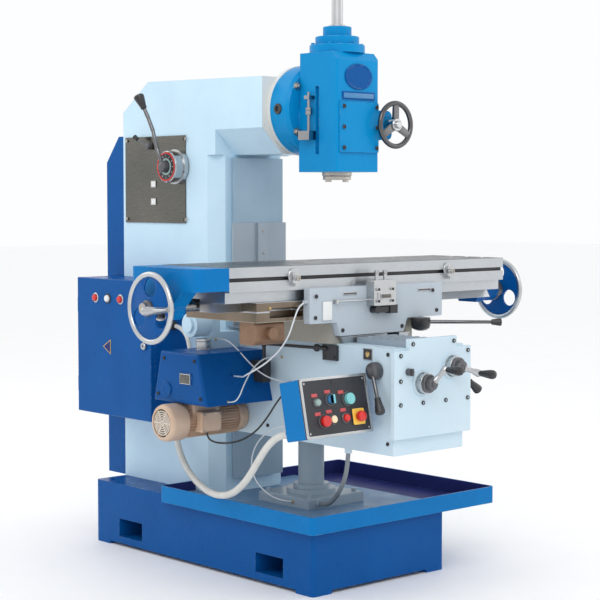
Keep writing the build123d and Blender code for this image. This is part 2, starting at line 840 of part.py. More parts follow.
def feed_reverse():
    """Reversing box under the saddle's left wing."""
    low = knee_top + 10
    high = knee_top + 78
    body = block(-460, -345, table_front + 20, table_front + 90, low, high)
    body = fillet(body.edges().filter_by(Axis.X), 12)
    body += bar_y(table_front + 2, table_front + 21, -402, low + 34, 18)
    save("feed_reverse", body)


# ---------------------------------------------------------------- knee

def rail_outline(grow):
    """Dovetail rails of the knee; grow opens the outline up for the saddle's channel."""
    half = rail_width / 2
    slope = rail_flare / rail_height
    low = half - rail_flare - slope + grow
    high = half + slope * grow + grow
    return [(-low, knee_top - 1), (-high, rail_top + grow), (high, rail_top + grow), (low, knee_top - 1)]


def knee():
    body = block(-knee_side, knee_side, knee_front, knee_back, knee_low, knee_top)
    body = fillet(body.edges().group_by(Axis.Y)[0].filter_by(Axis.Z), 6)
    body += along_y(rail_outline(0), apron_face + 8, way_front - 20)
    inner = knee_side - knee_wall
    hollow_back = way_front - 46
    body -= block(-inner, inner, knee_front + knee_wall, hollow_back, knee_low - 1, knee_top - 26)
    # dovetail slot for the column's ways
    slot = way_width / 2 + gap
    slot_root = slot - way_flare
    outline = [(-slot, way_front - gap), (slot, way_front - gap), (slot_root, column_front + 2),
               (-slot_root, column_front + 2)]
    body -= along_z(outline, knee_low - 1, knee_top + 1)
    # slot in the deck for the cross nut
    body -= block(cross_x - 26, cross_x + 26, knee_front + 80, hollow_back - 30,
                  knee_top - 40, rail_top + 1)
    # bearing shelf for the elevating screw
    shelf = block(-inner - 1, 30, nut_y - 60, nut_y + 60, shelf_low, shelf_top)
    body += shelf
    body -= post(nut_x, nut_y, shelf_low - 5, shelf_top + 10, lift_radius - 5 + run_fit)
    # bearing bosses behind the front wall
    for x, z in ((cross_x, cross_z), (lift_x, lift_z)):
        body += bar_y(knee_front + knee_wall - 1, knee_front + knee_wall + 24, x, z, 26)
        body -= bar_y(plate_face - 1, knee_front + knee_wall + 30, x, z, 14 + run_fit)
    for side in (-1, 1):
        spot = (side * knee_side, knee_front + 70, lift_z + 36)
        body -= bar_x(spot[0] - knee_wall - 2, spot[0] + knee_wall + 2, spot[1], spot[2], 10 + run_fit)
    body -= bar_y(knee_front - 1, knee_front + 8, rapid_x, rapid_z, 7 + run_fit)
    # gland of the grey hose under the left wall
    x, y, z = grey_route[0]
    body += post(x, y, knee_low - 14, knee_low + 1, grey_radius + 4)
    body -= between((x, y, z + 1), grey_route[1], grey_radius + gap)
    save("knee", body)


def knee_front_plate():
    low = knee_low + plate_step
    half = plate_width / 2
    tab = plate_tab_width / 2
    outline = [(-half, low), (half, low), (half, knee_top - 6), (tab, knee_top - 6),
               (tab, knee_top + plate_tab),
               (-tab, knee_top + plate_tab), (-tab, knee_top - 6), (-half, knee_top - 6)]
    body = along_y(outline, plate_face, knee_front)
    for x, z in ((cross_x, cross_z), (lift_x, lift_z)):
        body -= bar_y(plate_face - 1, knee_front + 1, x, z, 14 + run_fit)
        body += bar_y(plate_face - 6, plate_face, x, z, dial_radius + 8)
        body -= bar_y(plate_face - 7, plate_face + 1, x, z, 14 + run_fit)
    body -= bar_y(plate_face - 1, knee_front + 1, rapid_x, rapid_z, 7 + run_fit)
    rows = [(low + 102, (-half + 26, -44, 54, half - 14)), (low + 172, (-half + 26,)),
            (knee_top - 20, (-half + 26, half - 14)), (knee_top + 12, (-tab + 14, tab - 14))]
    for z, xs in rows:
        for x in xs:
            body += bar_y(plate_face - 3, plate_face + 1, x, z, 5)
    save("knee_front_plate", body)


def way_guard():
    """Two guard plates standing on the knee in front of the column's ways, with a strip between."""
    half = guard_plate_width / 2
    y1 = way_front - 2
    body = block(-half, half, y1 - 6, y1, knee_top, knee_top + guard_plate_height)
    body += block(-14, 32, y1 - 14, y1 - 5, knee_top, knee_top + guard_plate_height)
    body += block(-half, half, y1 - 14, y1, knee_top, knee_top + 14)
    save("way_guard", body)


def knee_way_cover():
    """Pleated cover over the rails in front of the saddle."""
    y0 = knee_front + 4
    y1 = apron_face - 2
    body = block(-92, cross_x - 30, y0, y1, knee_top, knee_top + 18)
    for row in range(6):
        y = y0 + 12 + row * (y1 - y0 - 24) / 6
        body += block(-86, cross_x - 36, y, y + 12, knee_top + 17, knee_top + 22)
    save("knee_way_cover", body)


def elevating_screw():
    low = base_height + 35
    head = shelf_top + 10
    body = post(nut_x, nut_y, low, shelf_low - gap, lift_radius)
    body += post(nut_x, nut_y, shelf_low - gap - 1, head, lift_radius - 5)
    body += post(nut_x, nut_y, head, head + 10, 40)
    body += Pos(nut_x, nut_y, head + 14) * Cone(40, 30, 10)
    save("elevating_screw", body)


def crank(x, z, angle):
    """Dial, hub, arm and turning knob of one crank on the knee's front."""
    y1 = plate_face - 6 - gap
    a = radians(angle)
    body = bar_y(y1 - 26, y1, x, z, dial_radius)
    body += bar_y(y1 - 44, y1 - 25, x, z, 20)
    tip = (x + crank_radius * cos(a), y1 - 62, z + crank_radius * sin(a))
    body += between((x, y1 - 44, z), tip, 10, 8)
    body += ball(tip[0], tip[1], tip[2], 11)
    body += between(tip, (tip[0], tip[1] - 56, tip[2]), 9, 13)
    body += ball(tip[0], tip[1] - 54, tip[2], 13)
    return body


def cross_crank():
    body = crank(cross_x, cross_z, -23)
    save("cross_crank", body)


def cross_screw():
    y1 = plate_face - 6 - gap
    body = bar_y(y1, way_front - 52, cross_x, cross_z, 14)
    save("cross_screw", body)


def lift_crank():
    y1 = plate_face - 6 - gap
    body = crank(lift_x, lift_z, 55)
    body += bar_y(y1 - 1, nut_y - 74, lift_x, lift_z, 14)
    body += bar_y(nut_y - 78, nut_y - 66, lift_x, lift_z, 26)
    save("lift_crank", body)


def rapid_knob():
    y1 = plate_face - gap
    body = bar_y(y1 - 16, y1, rapid_x, rapid_z, 11)
    body += bar_y(y1 - 1, knee_front + 4, rapid_x, rapid_z, 7)
    body += block(rapid_x - 3, rapid_x + 3, y1 - 22, y1 - 14, rapid_z - 11, rapid_z + 11)
    save("rapid_knob", body)


def ball_lever(side, node, lean, drop, out):
    """Lever on one side of the knee: hub on the wall, rod and conical knob."""
    y = knee_front + 70
    z = lift_z + 36
    wall = side * (knee_side + gap)
    hub0, hub1 = min(wall, wall + side * 30), max(wall, wall + side * 30)
    body = bar_x(hub0, hub1, y, z, 21)
    pin0, pin1 = min(wall + side, wall - side * 18), max(wall + side, wall - side * 18)
    body += bar_x(pin0, pin1, y, z, 10)
    start = Vector(wall + side * 22, y, z)
    tip = Vector(start.X + side * out, y - lean, z - drop)
    way = (tip - start).normalized()
    body += between(tuple(start), tuple(tip), 7, 5)
    knob = tip + way * 34
    body += between(tuple(tip - way * 2), tuple(knob), 9, 15)
    body += ball(knob.X, knob.Y, knob.Z, 14)
    save(node, body)


# ---------------------------------------------------------------- feed drive

def case_outline():
    return [(case_front + 42, case_high), (case_front, case_low), (case_back, case_low),
            (case_back - 36, case_high)]


def feed_case():
    left = -case_left
    body = along_x(case_outline(), left, -knee_side)
    body = fillet(body.edges().group_by(Axis.X)[0], 10)
    body += block(left - 3, left, case_front + 70, case_front + 130, case_low + 60, case_low + 100)
    body += bar_x(left - 4, left + 1, case_back - 70, case_low + 40, 24)
    x, y, z = tube_route[-1]
    body += bar_y(y - 6, y + 14, x, z, 6)
    body -= between((x, y + 1, z), tube_route[-2], tube_radius + gap)
    save("feed_case", body)


def feed_motor():
    r = feed_motor_radius
    z = case_low - r - 1
    left = -feed_motor_left
    y = feed_motor_y
    body = bar_x(left + 60, -knee_side - 20, y, z, r - 3)
    cowl = bar_x(left, left + 66, y, z, r)
    body += fillet(cowl.edges().group_by(Axis.X)[0], 8)
    body += block(left + 90, left + 200, y - 46, y + 46, z, case_low)
    body += block(left + 100, left + 180, y - r - 20, y - 20, z - 34, z + 34)
    body += bar_x(-knee_side - 22, -knee_side, y, z, 40)
    save("feed_motor", body)


def feed_bracket():
    """White casting above the gear case with a horizontal cylinder on its end."""
    y0 = bracket_y - 34
    y1 = bracket_y + 34
    low = case_high
    body = block(-268, -knee_side, y0, y1, low, low + 52)
    body += block(-268, -232, y0, y1, low, low + 126)
    body = fillet(body.edges().filter_by(Axis.Y), 4)
    body += bar_x(-330, -267, bracket_y, low + 78, 39)
    body += bar_x(-340, -329, bracket_y, low + 78, 24)
    body += bar_y(y0 - 5, y0 + 1, -250, low + 106, 6)
    save("feed_bracket", body)


def feed_link():
    """Feed switch on the case and its rod to the plate on the knee's side."""
    x = -196
    front = case_front - 26
    body = block(x - 16, x + 16, front, case_front + 40, case_low + 64, case_low + 130)
    body -= along_x(case_outline(), x - 20, x + 20)
    body += between((x, case_front - 12, case_low + 128), (x, case_front - 12, knee_top - 16), 6)
    body += ball(x, case_front - 12, knee_top - 16, 11)
    body += between((x, case_front - 12, knee_top - 16), (-knee_side - 20, -452, knee_top - 16), 5)
    body += ball(-knee_side - 20, -452, knee_top - 16, 12)
    body += between((-knee_side - 20, -452, knee_top - 16), (-knee_side - 9, -486, knee_top - 16), 6)
    body += block(-knee_side - 10, -knee_side, -528, -466, knee_top - 52, knee_top - 5)
    for y in (-518, -476):
        body += bar_x(-knee_side - 13, -knee_side - 9, y, knee_top - 42, 4)
    save("feed_link", body)


# ---------------------------------------------------------------- electrics

def electrical_cabinet():
    x0 = -column_side - cabinet_depth
    x1 = -column_side
    body = block(x0 + door_thick, x1, cabinet_front, cabinet_back, cabinet_low, cabinet_high)
    w = cabinet_wall
    body -= block(x0, x1 - w, cabinet_front + w, cabinet_back - w, cabinet_low + w, cabinet_high - w)
    body += block(x1 - w - 6, x1 - w, cabinet_front + 50, cabinet_back - 50,
                  cabinet_low + 50, cabinet_high - 50)
    for row in range(3):
        z = cabinet_low + 110 + row * 110
        body += block(x1 - w - 60, x1 - w - 5, cabinet_front + 90, cabinet_back - 90, z, z + 60)
    x, y, z = conduit_route[0]
    gland = post(x, y, cabinet_low - 22, cabinet_low + 1, conduit_radius + 7)
    gland -= between(conduit_route[0], conduit_route[1], conduit_radius + gap)
    gland -= post(x, y, z - 1, cabinet_low + 2, conduit_radius + 1)
    body += gland
    save("electrical_cabinet", body)


def cabinet_door():
    x0 = -column_side - cabinet_depth
    x1 = x0 + door_thick - gap
    body = block(x0, x1, cabinet_front, cabinet_back, cabinet_low, cabinet_high)
    body = chamfer(body.edges().group_by(Axis.X)[0], 2)
    w = cabinet_wall
    body -= block(x0 + w, x1 + 1, cabinet_front + w, cabinet_back - w, cabinet_low + w, cabinet_high - w)
    mid = cabinet_low + 250
    body += bar_x(x0 - 8, x0 + w, cabinet_front + 30, mid, 9)
    # hinge knuckles on the rear edge
    x = x1 - knuckle_radius / 3
    y = cabinet_back + knuckle_radius + gap
    for z in (cabinet_low + 70, cabinet_high - 120):
        body += block(x - knuckle_radius - 5, x, cabinet_back - 1, y, z, z + 50)
        body += post(x, y, z, z + 50, knuckle_radius)
    save("cabinet_door", body)


def speed_panel():
    x1 = -column_side
    body = block(x1 - panel_thick, x1, panel_front, panel_back, panel_low, panel_high)
    for y in (panel_front + 12, panel_back - 12):
        for z in (panel_low + 12, panel_high - 12):
            body += bar_x(x1 - panel_thick - 3, x1 - panel_thick, y, z, 5)
    body += bar_x(x1 - panel_thick - 16, x1 - panel_thick, dial_y, dial_z, 58)
    for z in (panel_low + 60, panel_low + 120):
        body += block(x1 - panel_thick - 2, x1 - panel_thick, dial_y + 120, dial_y + 150, z, z + 24)
    body -= bar_x(x1 - panel_thick - 17, x1 + 1, dial_y, dial_z, 12 + run_fit)
    save("speed_panel", body)


def speed_dial():
    x1 = -column_side - panel_thick - 16 - gap
    body = bar_x(x1 - 34, x1, dial_y, dial_z, 53)
    body = chamfer(body.edges().group_by(Axis.X)[0], 3)
    body += bar_x(x1 - 1, -column_side - gap, dial_y, dial_z, 12)
    save("speed_dial", body)


def speed_lever():
    x1 = -column_side - panel_thick - 16 - 34 - 2 * gap
    body = bar_x(x1 - 22, x1, dial_y, dial_z, 24)
    bend = (x1 - 34, dial_y + 24, dial_z + 120)
    tip = (x1 - 52, dial_y + 52, dial_z + 196)
    body += between((x1 - 12, dial_y, dial_z), bend, 7)
    body += ball(bend[0], bend[1], bend[2], 7)
    body += between(bend, tip, 7, 6)
    body += between(tip, (tip[0] - 6, tip[1] + 12, tip[2] + 40), 8, 18)
    body += ball(tip[0] - 6, tip[1] + 12, tip[2] + 38, 17)
    save("speed_lever", body)


def range_lever():
    """Short range lever above and behind the dial."""
    x1 = -column_side - panel_thick - gap
    y = dial_y + 150
    z = dial_z + 72
    body = bar_x(x1 - 22, x1, y, z, 11)
    body += between((x1 - 14, y, z), (x1 - 26, y + 44, z + 26), 5)
    body += ball(x1 - 26, y + 44, z + 26, 10)
    save("range_lever", body)


# ---------------------------------------------------------------- pendant

def pendant_place():
    return Pos(pendant_x, pendant_face_y, pendant_z) * Rot(pendant_tilt, 0, 0)


def pendant_box():
    half = pendant_width / 2
    tall = pendant_height / 2
    body = block(-half, half, 6, pendant_depth, -tall, tall)
    body = fillet(body.edges().filter_by(Axis.Y), 6)
    body -= block(-half + 4, half - 4, 5, pendant_depth - 4, -tall + 4, tall - 4)
    body += block(-60, 60, pendant_depth - 1, pendant_depth + 40, -40, 40)
    x, z = pendant_gland
    gland = bar_y(pendant_depth - 1, pendant_depth + 20, x, z, conduit_radius + 6)
    body += gland - bar_y(pendant_depth + 2, pendant_depth + 21, x, z, conduit_radius + gap)
    body = pendant_place() * body
    arm_y = pendant_face_y + 104
    body += block(pendant_x + 30, -knee_side, arm_y, arm_y + 24, pendant_z - 35, pendant_z + 5)
    body += block(-knee_side - 8, -knee_side, arm_y - 24, arm_y + 48, pendant_z - 59, pendant_z + 29)
    save("pendant_box", body)


def pendant_panel():
    half = pendant_width / 2
    tall = pendant_height / 2
    frame_plate = block(-half, half, 0, 6, -tall, tall)
    frame_plate = fillet(frame_plate.edges().filter_by(Axis.Y), 6)
    for spot in buttons:
        x, z, radius, depth = spot
        frame_plate -= bar_y(-1, 7, x, z, radius - 3 + gap)
    x, z = stop_place
    frame_plate += block(x - 24, x + 24, -3, 1, z - 24, z + 24)
    frame_plate -= bar_y(-4, 7, x, z, 10 + gap)
    save("pendant_panel", pendant_place() * frame_plate)


buttons = [(-22.0, -38.0, 11.0, 10.0), (-57.0, -41.0, 16.0, 16.0), (47.0, 16.0, 17.0, 16.0)]
stop_place = (78.0, -38.0)
switch_place = (-21.0, 20.0)


def push_button(node, place):
    """Cap outside the plate and a stem through it that ends in the box."""
    x, z, radius, depth = place
    body = bar_y(-depth, -button_stroke - gap, x, z, radius)
    body = fillet(body.edges().group_by(Axis.Y)[0], 2.5)
    body += bar_y(-button_stroke - 1, 18, x, z, radius - 3)
    save(node, pendant_place() * body)


def emergency_stop():
    x, z = stop_place
    body = bar_y(-26, -3 - button_stroke - gap, x, z, 20)
    body = fillet(body.edges().group_by(Axis.Y)[0], 6)
    body += bar_y(-12, 20, x, z, 10)
    save("emergency_stop", pendant_place() * body)


def mode_switch():
    x, z = switch_place
    body = bar_y(-7, -gap, x, z, 13)
    body += block(x - 4, x + 4, -19, -6, z - 12, z + 12)
    save("mode_switch", pendant_place() * body)


# ---------------------------------------------------------------- hoses

pendant_gland = (-98.0, -60.0)


def pendant_point(back):
    """Point on the gland's axis, back mm behind the pendant's face."""
    tilt = radians(pendant_tilt)
    x, z = pendant_gland
    return (pendant_x + x, pendant_face_y + back * cos(tilt) - z * sin(tilt),
            pendant_z + back * sin(tilt) + z * cos(tilt))


conduit_route = [(-205.0, 214.0, cabinet_low - 4), (-209.0, 203.0, cabinet_low - 59),
                 (-220.0, 167.0, 343.0), (-241.0, 100.0, 297.0), (-270.0, 8.0, 268.0),
                 (-306.0, -98.0, 257.0), (-342.0, -206.0, 266.0),
                 (-372.0, -302.0, 294.0), (-396.0, -388.0, 346.0), (-411.0, -452.0, 408.0),
                 (-417.0, -507.0, 467.0), pendant_point(pendant_depth + 66),
                 pendant_point(pendant_depth + 4)]
grey_route = [(-139.0, -560.0, knee_low - 6), (-138.0, -555.0, 382.0), (-131.0, -533.0, 330.0),
              (-117.0, -492.0, 284.0), (-99.0, -441.0, 248.0), (-84.0, -399.0, 233.0),
              (-82.0, nut_y - nut_block / 2 - 4, 232.0)]
tube_route = [(-apron_left - 5, table_front - 12, saddle_top - 4),
              (-apron_left - 33, table_front - 15, saddle_top - 12),
              (-340.0, -537.0, 836.0), (-354.0, -528.0, 784.0), (-368.0, -500.0, 740.0),
              (-379.0, -456.0, 704.0), (-380.0, -404.0, 678.0), (-366.0, -350.0, 660.0),
              (-340.0, -304.0, 648.0), (-308.0, -262.0, 642.0),
              (-300.0, case_front + 14, case_low + 88)]


def hoses():
    save("pendant_conduit", hose("pendant_conduit", conduit_route, conduit_radius))
    save("grey_hose", hose("grey_hose", grey_route, grey_radius))
    save("oil_tube", hose("oil_tube", tube_route, tube_radius))


def make():
    os.makedirs("parts", exist_ok=True)
    base()
    coolant_tray()
    screw_column()
    column()
    rear_cover()
    main_motor()
    drive_shaft()
    head_housing()
    head_cover()
    top_cap()
    depth_stop()
    quill()
    spindle()
    drawbar()
    drive_gear()
    quill_wheel()
    table()
    table_dogs()
    left_bracket()
    right_bracket()
    table_screw()
    handwheels()
    saddle()
    saddle_apron()
    trip_box()
    trip_lever()
    feed_lever()
    feed_reverse()
    knee()
    knee_front_plate()
    way_guard()
    knee_way_cover()
    elevating_screw()
    cross_crank()
    cross_screw()
    lift_crank()
    rapid_knob()
    ball_lever(-1, "left_lever", 40, 78, 16)
    ball_lever(1, "right_lever", 10, 62, 74)
    feed_case()
    feed_motor()
    feed_bracket()
    feed_link()
    electrical_cabinet()
    cabinet_door()
    speed_panel()
    speed_dial()
    speed_lever()
    range_lever()
    pendant_box()
    pendant_panel()
    push_button("start_button", buttons[0])
    push_button("stop_button", buttons[1])
    push_button("jog_button", buttons[2])
    emergency_stop()
    mode_switch()
    hoses()


make()
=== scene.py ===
import bpy
import math
from mathutils import Matrix, Vector


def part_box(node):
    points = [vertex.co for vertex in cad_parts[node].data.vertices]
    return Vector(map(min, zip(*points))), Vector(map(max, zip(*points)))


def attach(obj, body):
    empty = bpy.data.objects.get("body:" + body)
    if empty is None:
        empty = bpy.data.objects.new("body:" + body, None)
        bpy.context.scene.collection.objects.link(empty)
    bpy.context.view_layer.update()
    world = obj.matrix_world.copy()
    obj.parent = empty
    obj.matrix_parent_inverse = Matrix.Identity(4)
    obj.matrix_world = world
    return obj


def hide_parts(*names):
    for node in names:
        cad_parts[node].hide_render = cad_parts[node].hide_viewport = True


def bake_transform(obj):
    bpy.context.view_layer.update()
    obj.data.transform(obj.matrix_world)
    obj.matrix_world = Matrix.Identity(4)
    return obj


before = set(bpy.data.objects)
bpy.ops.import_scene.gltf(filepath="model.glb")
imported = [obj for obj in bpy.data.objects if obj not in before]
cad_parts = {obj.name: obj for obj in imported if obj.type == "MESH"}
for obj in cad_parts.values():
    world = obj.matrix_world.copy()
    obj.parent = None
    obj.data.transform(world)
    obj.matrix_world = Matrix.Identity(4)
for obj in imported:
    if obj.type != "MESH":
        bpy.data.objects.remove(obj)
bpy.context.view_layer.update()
toFront, toLeft, toRight = (0, -1, 0), (-1, 0, 0), (1, 0, 0)


def low(node):
    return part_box(node)[0]


def high(node):
    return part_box(node)[1]


# ways of working in edit mode

def leaveEdit():
    bpy.ops.object.mode_set(mode="OBJECT")


def clearPick():
    if bpy.context.mode != "OBJECT":
        leaveEdit()
    bpy.ops.object.select_all(action="DESELECT")


def hold(piece):
    clearPick()
    piece.select_set(True)
    bpy.context.view_layer.objects.active = piece


def pick(piece, kind, test):
    hold(piece)
    bpy.ops.object.mode_set(mode="EDIT")
    bpy.context.tool_settings.mesh_select_mode = tuple(kind == k for k in ("vert", "edge", "face"))
    bpy.ops.mesh.select_all(action="DESELECT")
    leaveEdit()
    mesh = piece.data
    if kind == "edge":
        for edge in mesh.edges:
            edge.select = test(*(mesh.vertices[i].co for i in edge.vertices))
    elif kind == "face":
        for face in mesh.polygons:
            face.select = test(face.center, face.normal)
    else:
        for vert in mesh.vertices:
            vert.select = test(vert.co)
    bpy.ops.object.mode_set(mode="EDIT")


def useModifier(piece, kind, **values):
    hold(piece)
    modifier = piece.modifiers.new(kind.title(), kind)
    for key, value in values.items():
        setattr(modifier, key, value)
    bpy.ops.object.modifier_apply(modifier=modifier.name)


def softEdges(piece, width, segments=2, angle=35):
    useModifier(piece, "BEVEL", width=width, segments=segments, limit_method="ANGLE",
                angle_limit=math.radians(angle), harden_normals=False)


def cutAway(piece, cutters):
    for cutter in cutters:
        useModifier(piece, "BOOLEAN", operation="DIFFERENCE", object=cutter, solver="EXACT")
        bpy.data.objects.remove(cutter)


def copyOf(piece, name):
    other = piece.copy()
    other.data = piece.data.copy()
    other.name = name
    bpy.context.collection.objects.link(other)
    return other


def joined(name, pieces):
    clearPick()
    for piece in pieces:
        piece.select_set(True)
    bpy.context.view_layer.objects.active = pieces[0]
    if len(pieces) > 1:
        bpy.ops.object.join()
    pieces[0].name = name
    return pieces[0]


def standing(place, along=(0, 0, 1)):
    turn = Vector(along).to_track_quat("Z", "Y").to_matrix().to_4x4()
    return Matrix.Translation(place) @ turn


def lay(piece, matrix):
    hold(piece)
    piece.matrix_world = matrix @ piece.matrix_world
    bpy.ops.object.transform_apply(location=True, rotation=True, scale=True)
    return piece


def setDown(piece, place, along=(0, 0, 1)):
    return lay(piece, standing(place, along))


def around(angle, place):
    return Matrix.Rotation(angle, 4, "Z") @ Matrix.Translation(place)


def turned(name, steps, sides=48, ring=False):
    # a circle extruded and scaled step by step; steps are (height, radius)
    clearPick()
    height, radius = steps[0]
    bpy.ops.mesh.primitive_circle_add(vertices=sides, radius=radius,
                                      fill_type="NOTHING" if ring else "NGON")
    piece = bpy.context.object
    piece.name = name
    bpy.ops.object.mode_set(mode="EDIT")
    bpy.ops.mesh.select_all(action="SELECT")
    bpy.ops.transform.translate(value=(0, 0, height))
    for nextHeight, nextRadius in steps[1:]:
        move = {"value": (0, 0, nextHeight - height), "orient_type": "GLOBAL"}
        if ring:
            bpy.ops.mesh.extrude_edges_move(TRANSFORM_OT_translate=move)
        else:
            bpy.ops.mesh.extrude_region_move(TRANSFORM_OT_translate=move)
        share = nextRadius / radius
        if abs(share - 1) > 1e-6:
            bpy.ops.transform.resize(value=(share, share, 1), center_override=(0, 0, nextHeight))
        height, radius = nextHeight, nextRadius
    bpy.ops.mesh.select_all(action="SELECT")
    if ring:
        bpy.ops.mesh.remove_doubles(threshold=1e-6)
    bpy.ops.mesh.normals_make_consistent(inside=False)
    leaveEdit()
    return piece


def ringSteps(radius, thickness, count=14, flat=1.0):
    steps = []
    for turn in range(count + 1):
        angle = math.tau * turn / count
        steps.append((thickness * flat * math.sin(angle), radius + thickness * math.cos(angle)))
    return steps


def slab(name, size, corner=0.0, edge=0.0, segments=3):
    # a plate lying flat, its face upwards, standing on z = 0
    clearPick()
    bpy.ops.mesh.primitive_cube_add(size=1, location=(0, 0, 0.5))
    piece = bpy.context.object
    piece.name = name
    bpy.ops.object.transform_apply(location=True, rotation=False, scale=False)
    piece.scale = size
    bpy.ops.object.transform_apply(location=False, rotation=False, scale=True)
    if corner:
        pick(piece, "edge", lambda a, b: abs(a.z - b.z) > 1e-6)
        bpy.ops.mesh.bevel(offset=corner, segments=4, affect="EDGES")
    if edge:
        pick(piece, "edge", lambda a, b: min(a.z, b.z) > size[2] - 1e-6)
        bpy.ops.mesh.bevel(offset=edge, segments=segments, affect="EDGES")
    leaveEdit()
    return piece


def finishPiece(piece, body, finish, replaces=(), smooth=32):
    hold(piece)
    bpy.ops.object.transform_apply(location=True, rotation=True, scale=True)
    bpy.ops.object.shade_smooth_by_angle(angle=math.radians(smooth))
    piece.data.materials.clear()
    piece.data.materials.append(finish)
    for face in piece.data.polygons:
        face.material_index = 0
    if body:
        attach(piece, body)
    if replaces:
        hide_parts(*replaces)
    return piece


def placed(piece, matrix, body, finish, replaces=(), smooth=32):
    lay(piece, matrix)
    return finishPiece(piece, body, finishes[finish], replaces, smooth)


def lathe(name, steps, matrix, body, finish, replaces=(), sides=48, ring=False,
          smooth=32):
    return placed(turned(name, steps, sides, ring), matrix, body, finish, replaces, smooth)


def several(name, steps, sides, matrices, body, finish):
    pieces = [lay(turned(name, steps, sides), matrix) for matrix in matrices]
    return finishPiece(joined(name, pieces), body, finishes[finish])


# finishes

def linkMix(tree, kind, factor, first, second):
    mix = tree.nodes.new("ShaderNodeMix")
    mix.data_type = kind
    tree.links.new(factor, mix.inputs[0])
    slots = (6, 7) if kind == "RGBA" else (2, 3)
    for place, value in zip(slots, (first, second)):
        if isinstance(value, bpy.types.NodeSocket):
            tree.links.new(value, mix.inputs[place])
        else:
            mix.inputs[place].default_value = value
    return mix.outputs[2] if kind == "RGBA" else mix.outputs[0]


def maths(tree, operation, first, second=0.0):
    node = tree.nodes.new("ShaderNodeMath")
    node.operation = operation
    for place, value in enumerate((first, second)):
        if isinstance(value, bpy.types.NodeSocket):
            tree.links.new(value, node.inputs[place])
        else:
            node.inputs[place].default_value = value
    return node.outputs[0]


def spread(tree, value, fromLow, fromHigh, toLow, toHigh):
    node = tree.nodes.new("ShaderNodeMapRange")
    tree.links.new(value, node.inputs["Value"])
    for key, number in (("From Min", fromLow), ("From Max", fromHigh), ("To Min", toLow),
                        ("To Max", toHigh)):
        node.inputs[key].default_value = number
    return node.outputs["Result"]


def noise(tree, place, scale, detail=4.0, stretch=None):
    node = tree.nodes.new("ShaderNodeTexNoise")
    node.inputs["Scale"].default_value = scale
    node.inputs["Detail"].default_value = detail
    if stretch:
        mapping = tree.nodes.new("ShaderNodeMapping")
        mapping.inputs["Scale"].default_value = stretch
        tree.links.new(place, mapping.inputs["Vector"])
        place = mapping.outputs["Vector"]
    tree.links.new(place, node.inputs["Vector"])
    return node.outputs["Fac"]


def zoneMask(tree, place, zone):
    # 1 inside the zone's box, 0 outside
    mask = None
    split = tree.nodes.new("ShaderNodeSeparateXYZ")
    tree.links.new(place, split.inputs[0])
    for axis in range(3):
        for limit, operation in ((zone["low"][axis], "GREATER_THAN"),
                                 (zone["high"][axis], "LESS_THAN")):
            if limit is not None:
                side = maths(tree, operation, split.outputs[axis], limit)
                mask = side if mask is None else maths(tree, "MULTIPLY", mask, side)
    return mask


def layerOf(tree, place, look):
    patches = noise(tree, place, look.get("patchScale", 6.0), 5.0)
    patches = spread(tree, patches, 0.3, 0.7, 0.0, 1.0)
    colour = linkMix(tree, "RGBA", patches, (*look["colour"], 1), (*look["second"], 1))
    grain = noise(tree, place, look.get("grainScale", 320.0), 3.0, look.get("stretch"))
    if look.get("streak"):
        strength = spread(tree, grain, 0.35, 0.7, 0.0, look["streak"])
        colour = linkMix(tree, "RGBA", strength, colour, (*look["streakColour"], 1))
    smudge = noise(tree, place, look.get("smudgeScale", 14.0), 6.0)
    rough = maths(tree, "ADD", spread(tree, smudge, 0.3, 0.7, look["rough"][0], look["rough"][1]),
                  spread(tree, grain, 0.2, 0.8, -0.03, 0.03))
    wave = noise(tree, place, look.get("waveScale", 24.0), 2.0)
    height = maths(tree, "ADD", maths(tree, "MULTIPLY", grain, look.get("grainHeight", 0.25)),
                   maths(tree, "MULTIPLY", wave, look.get("waveHeight", 1.0)))
    return colour, rough, height, look.get("metal", 0.0)


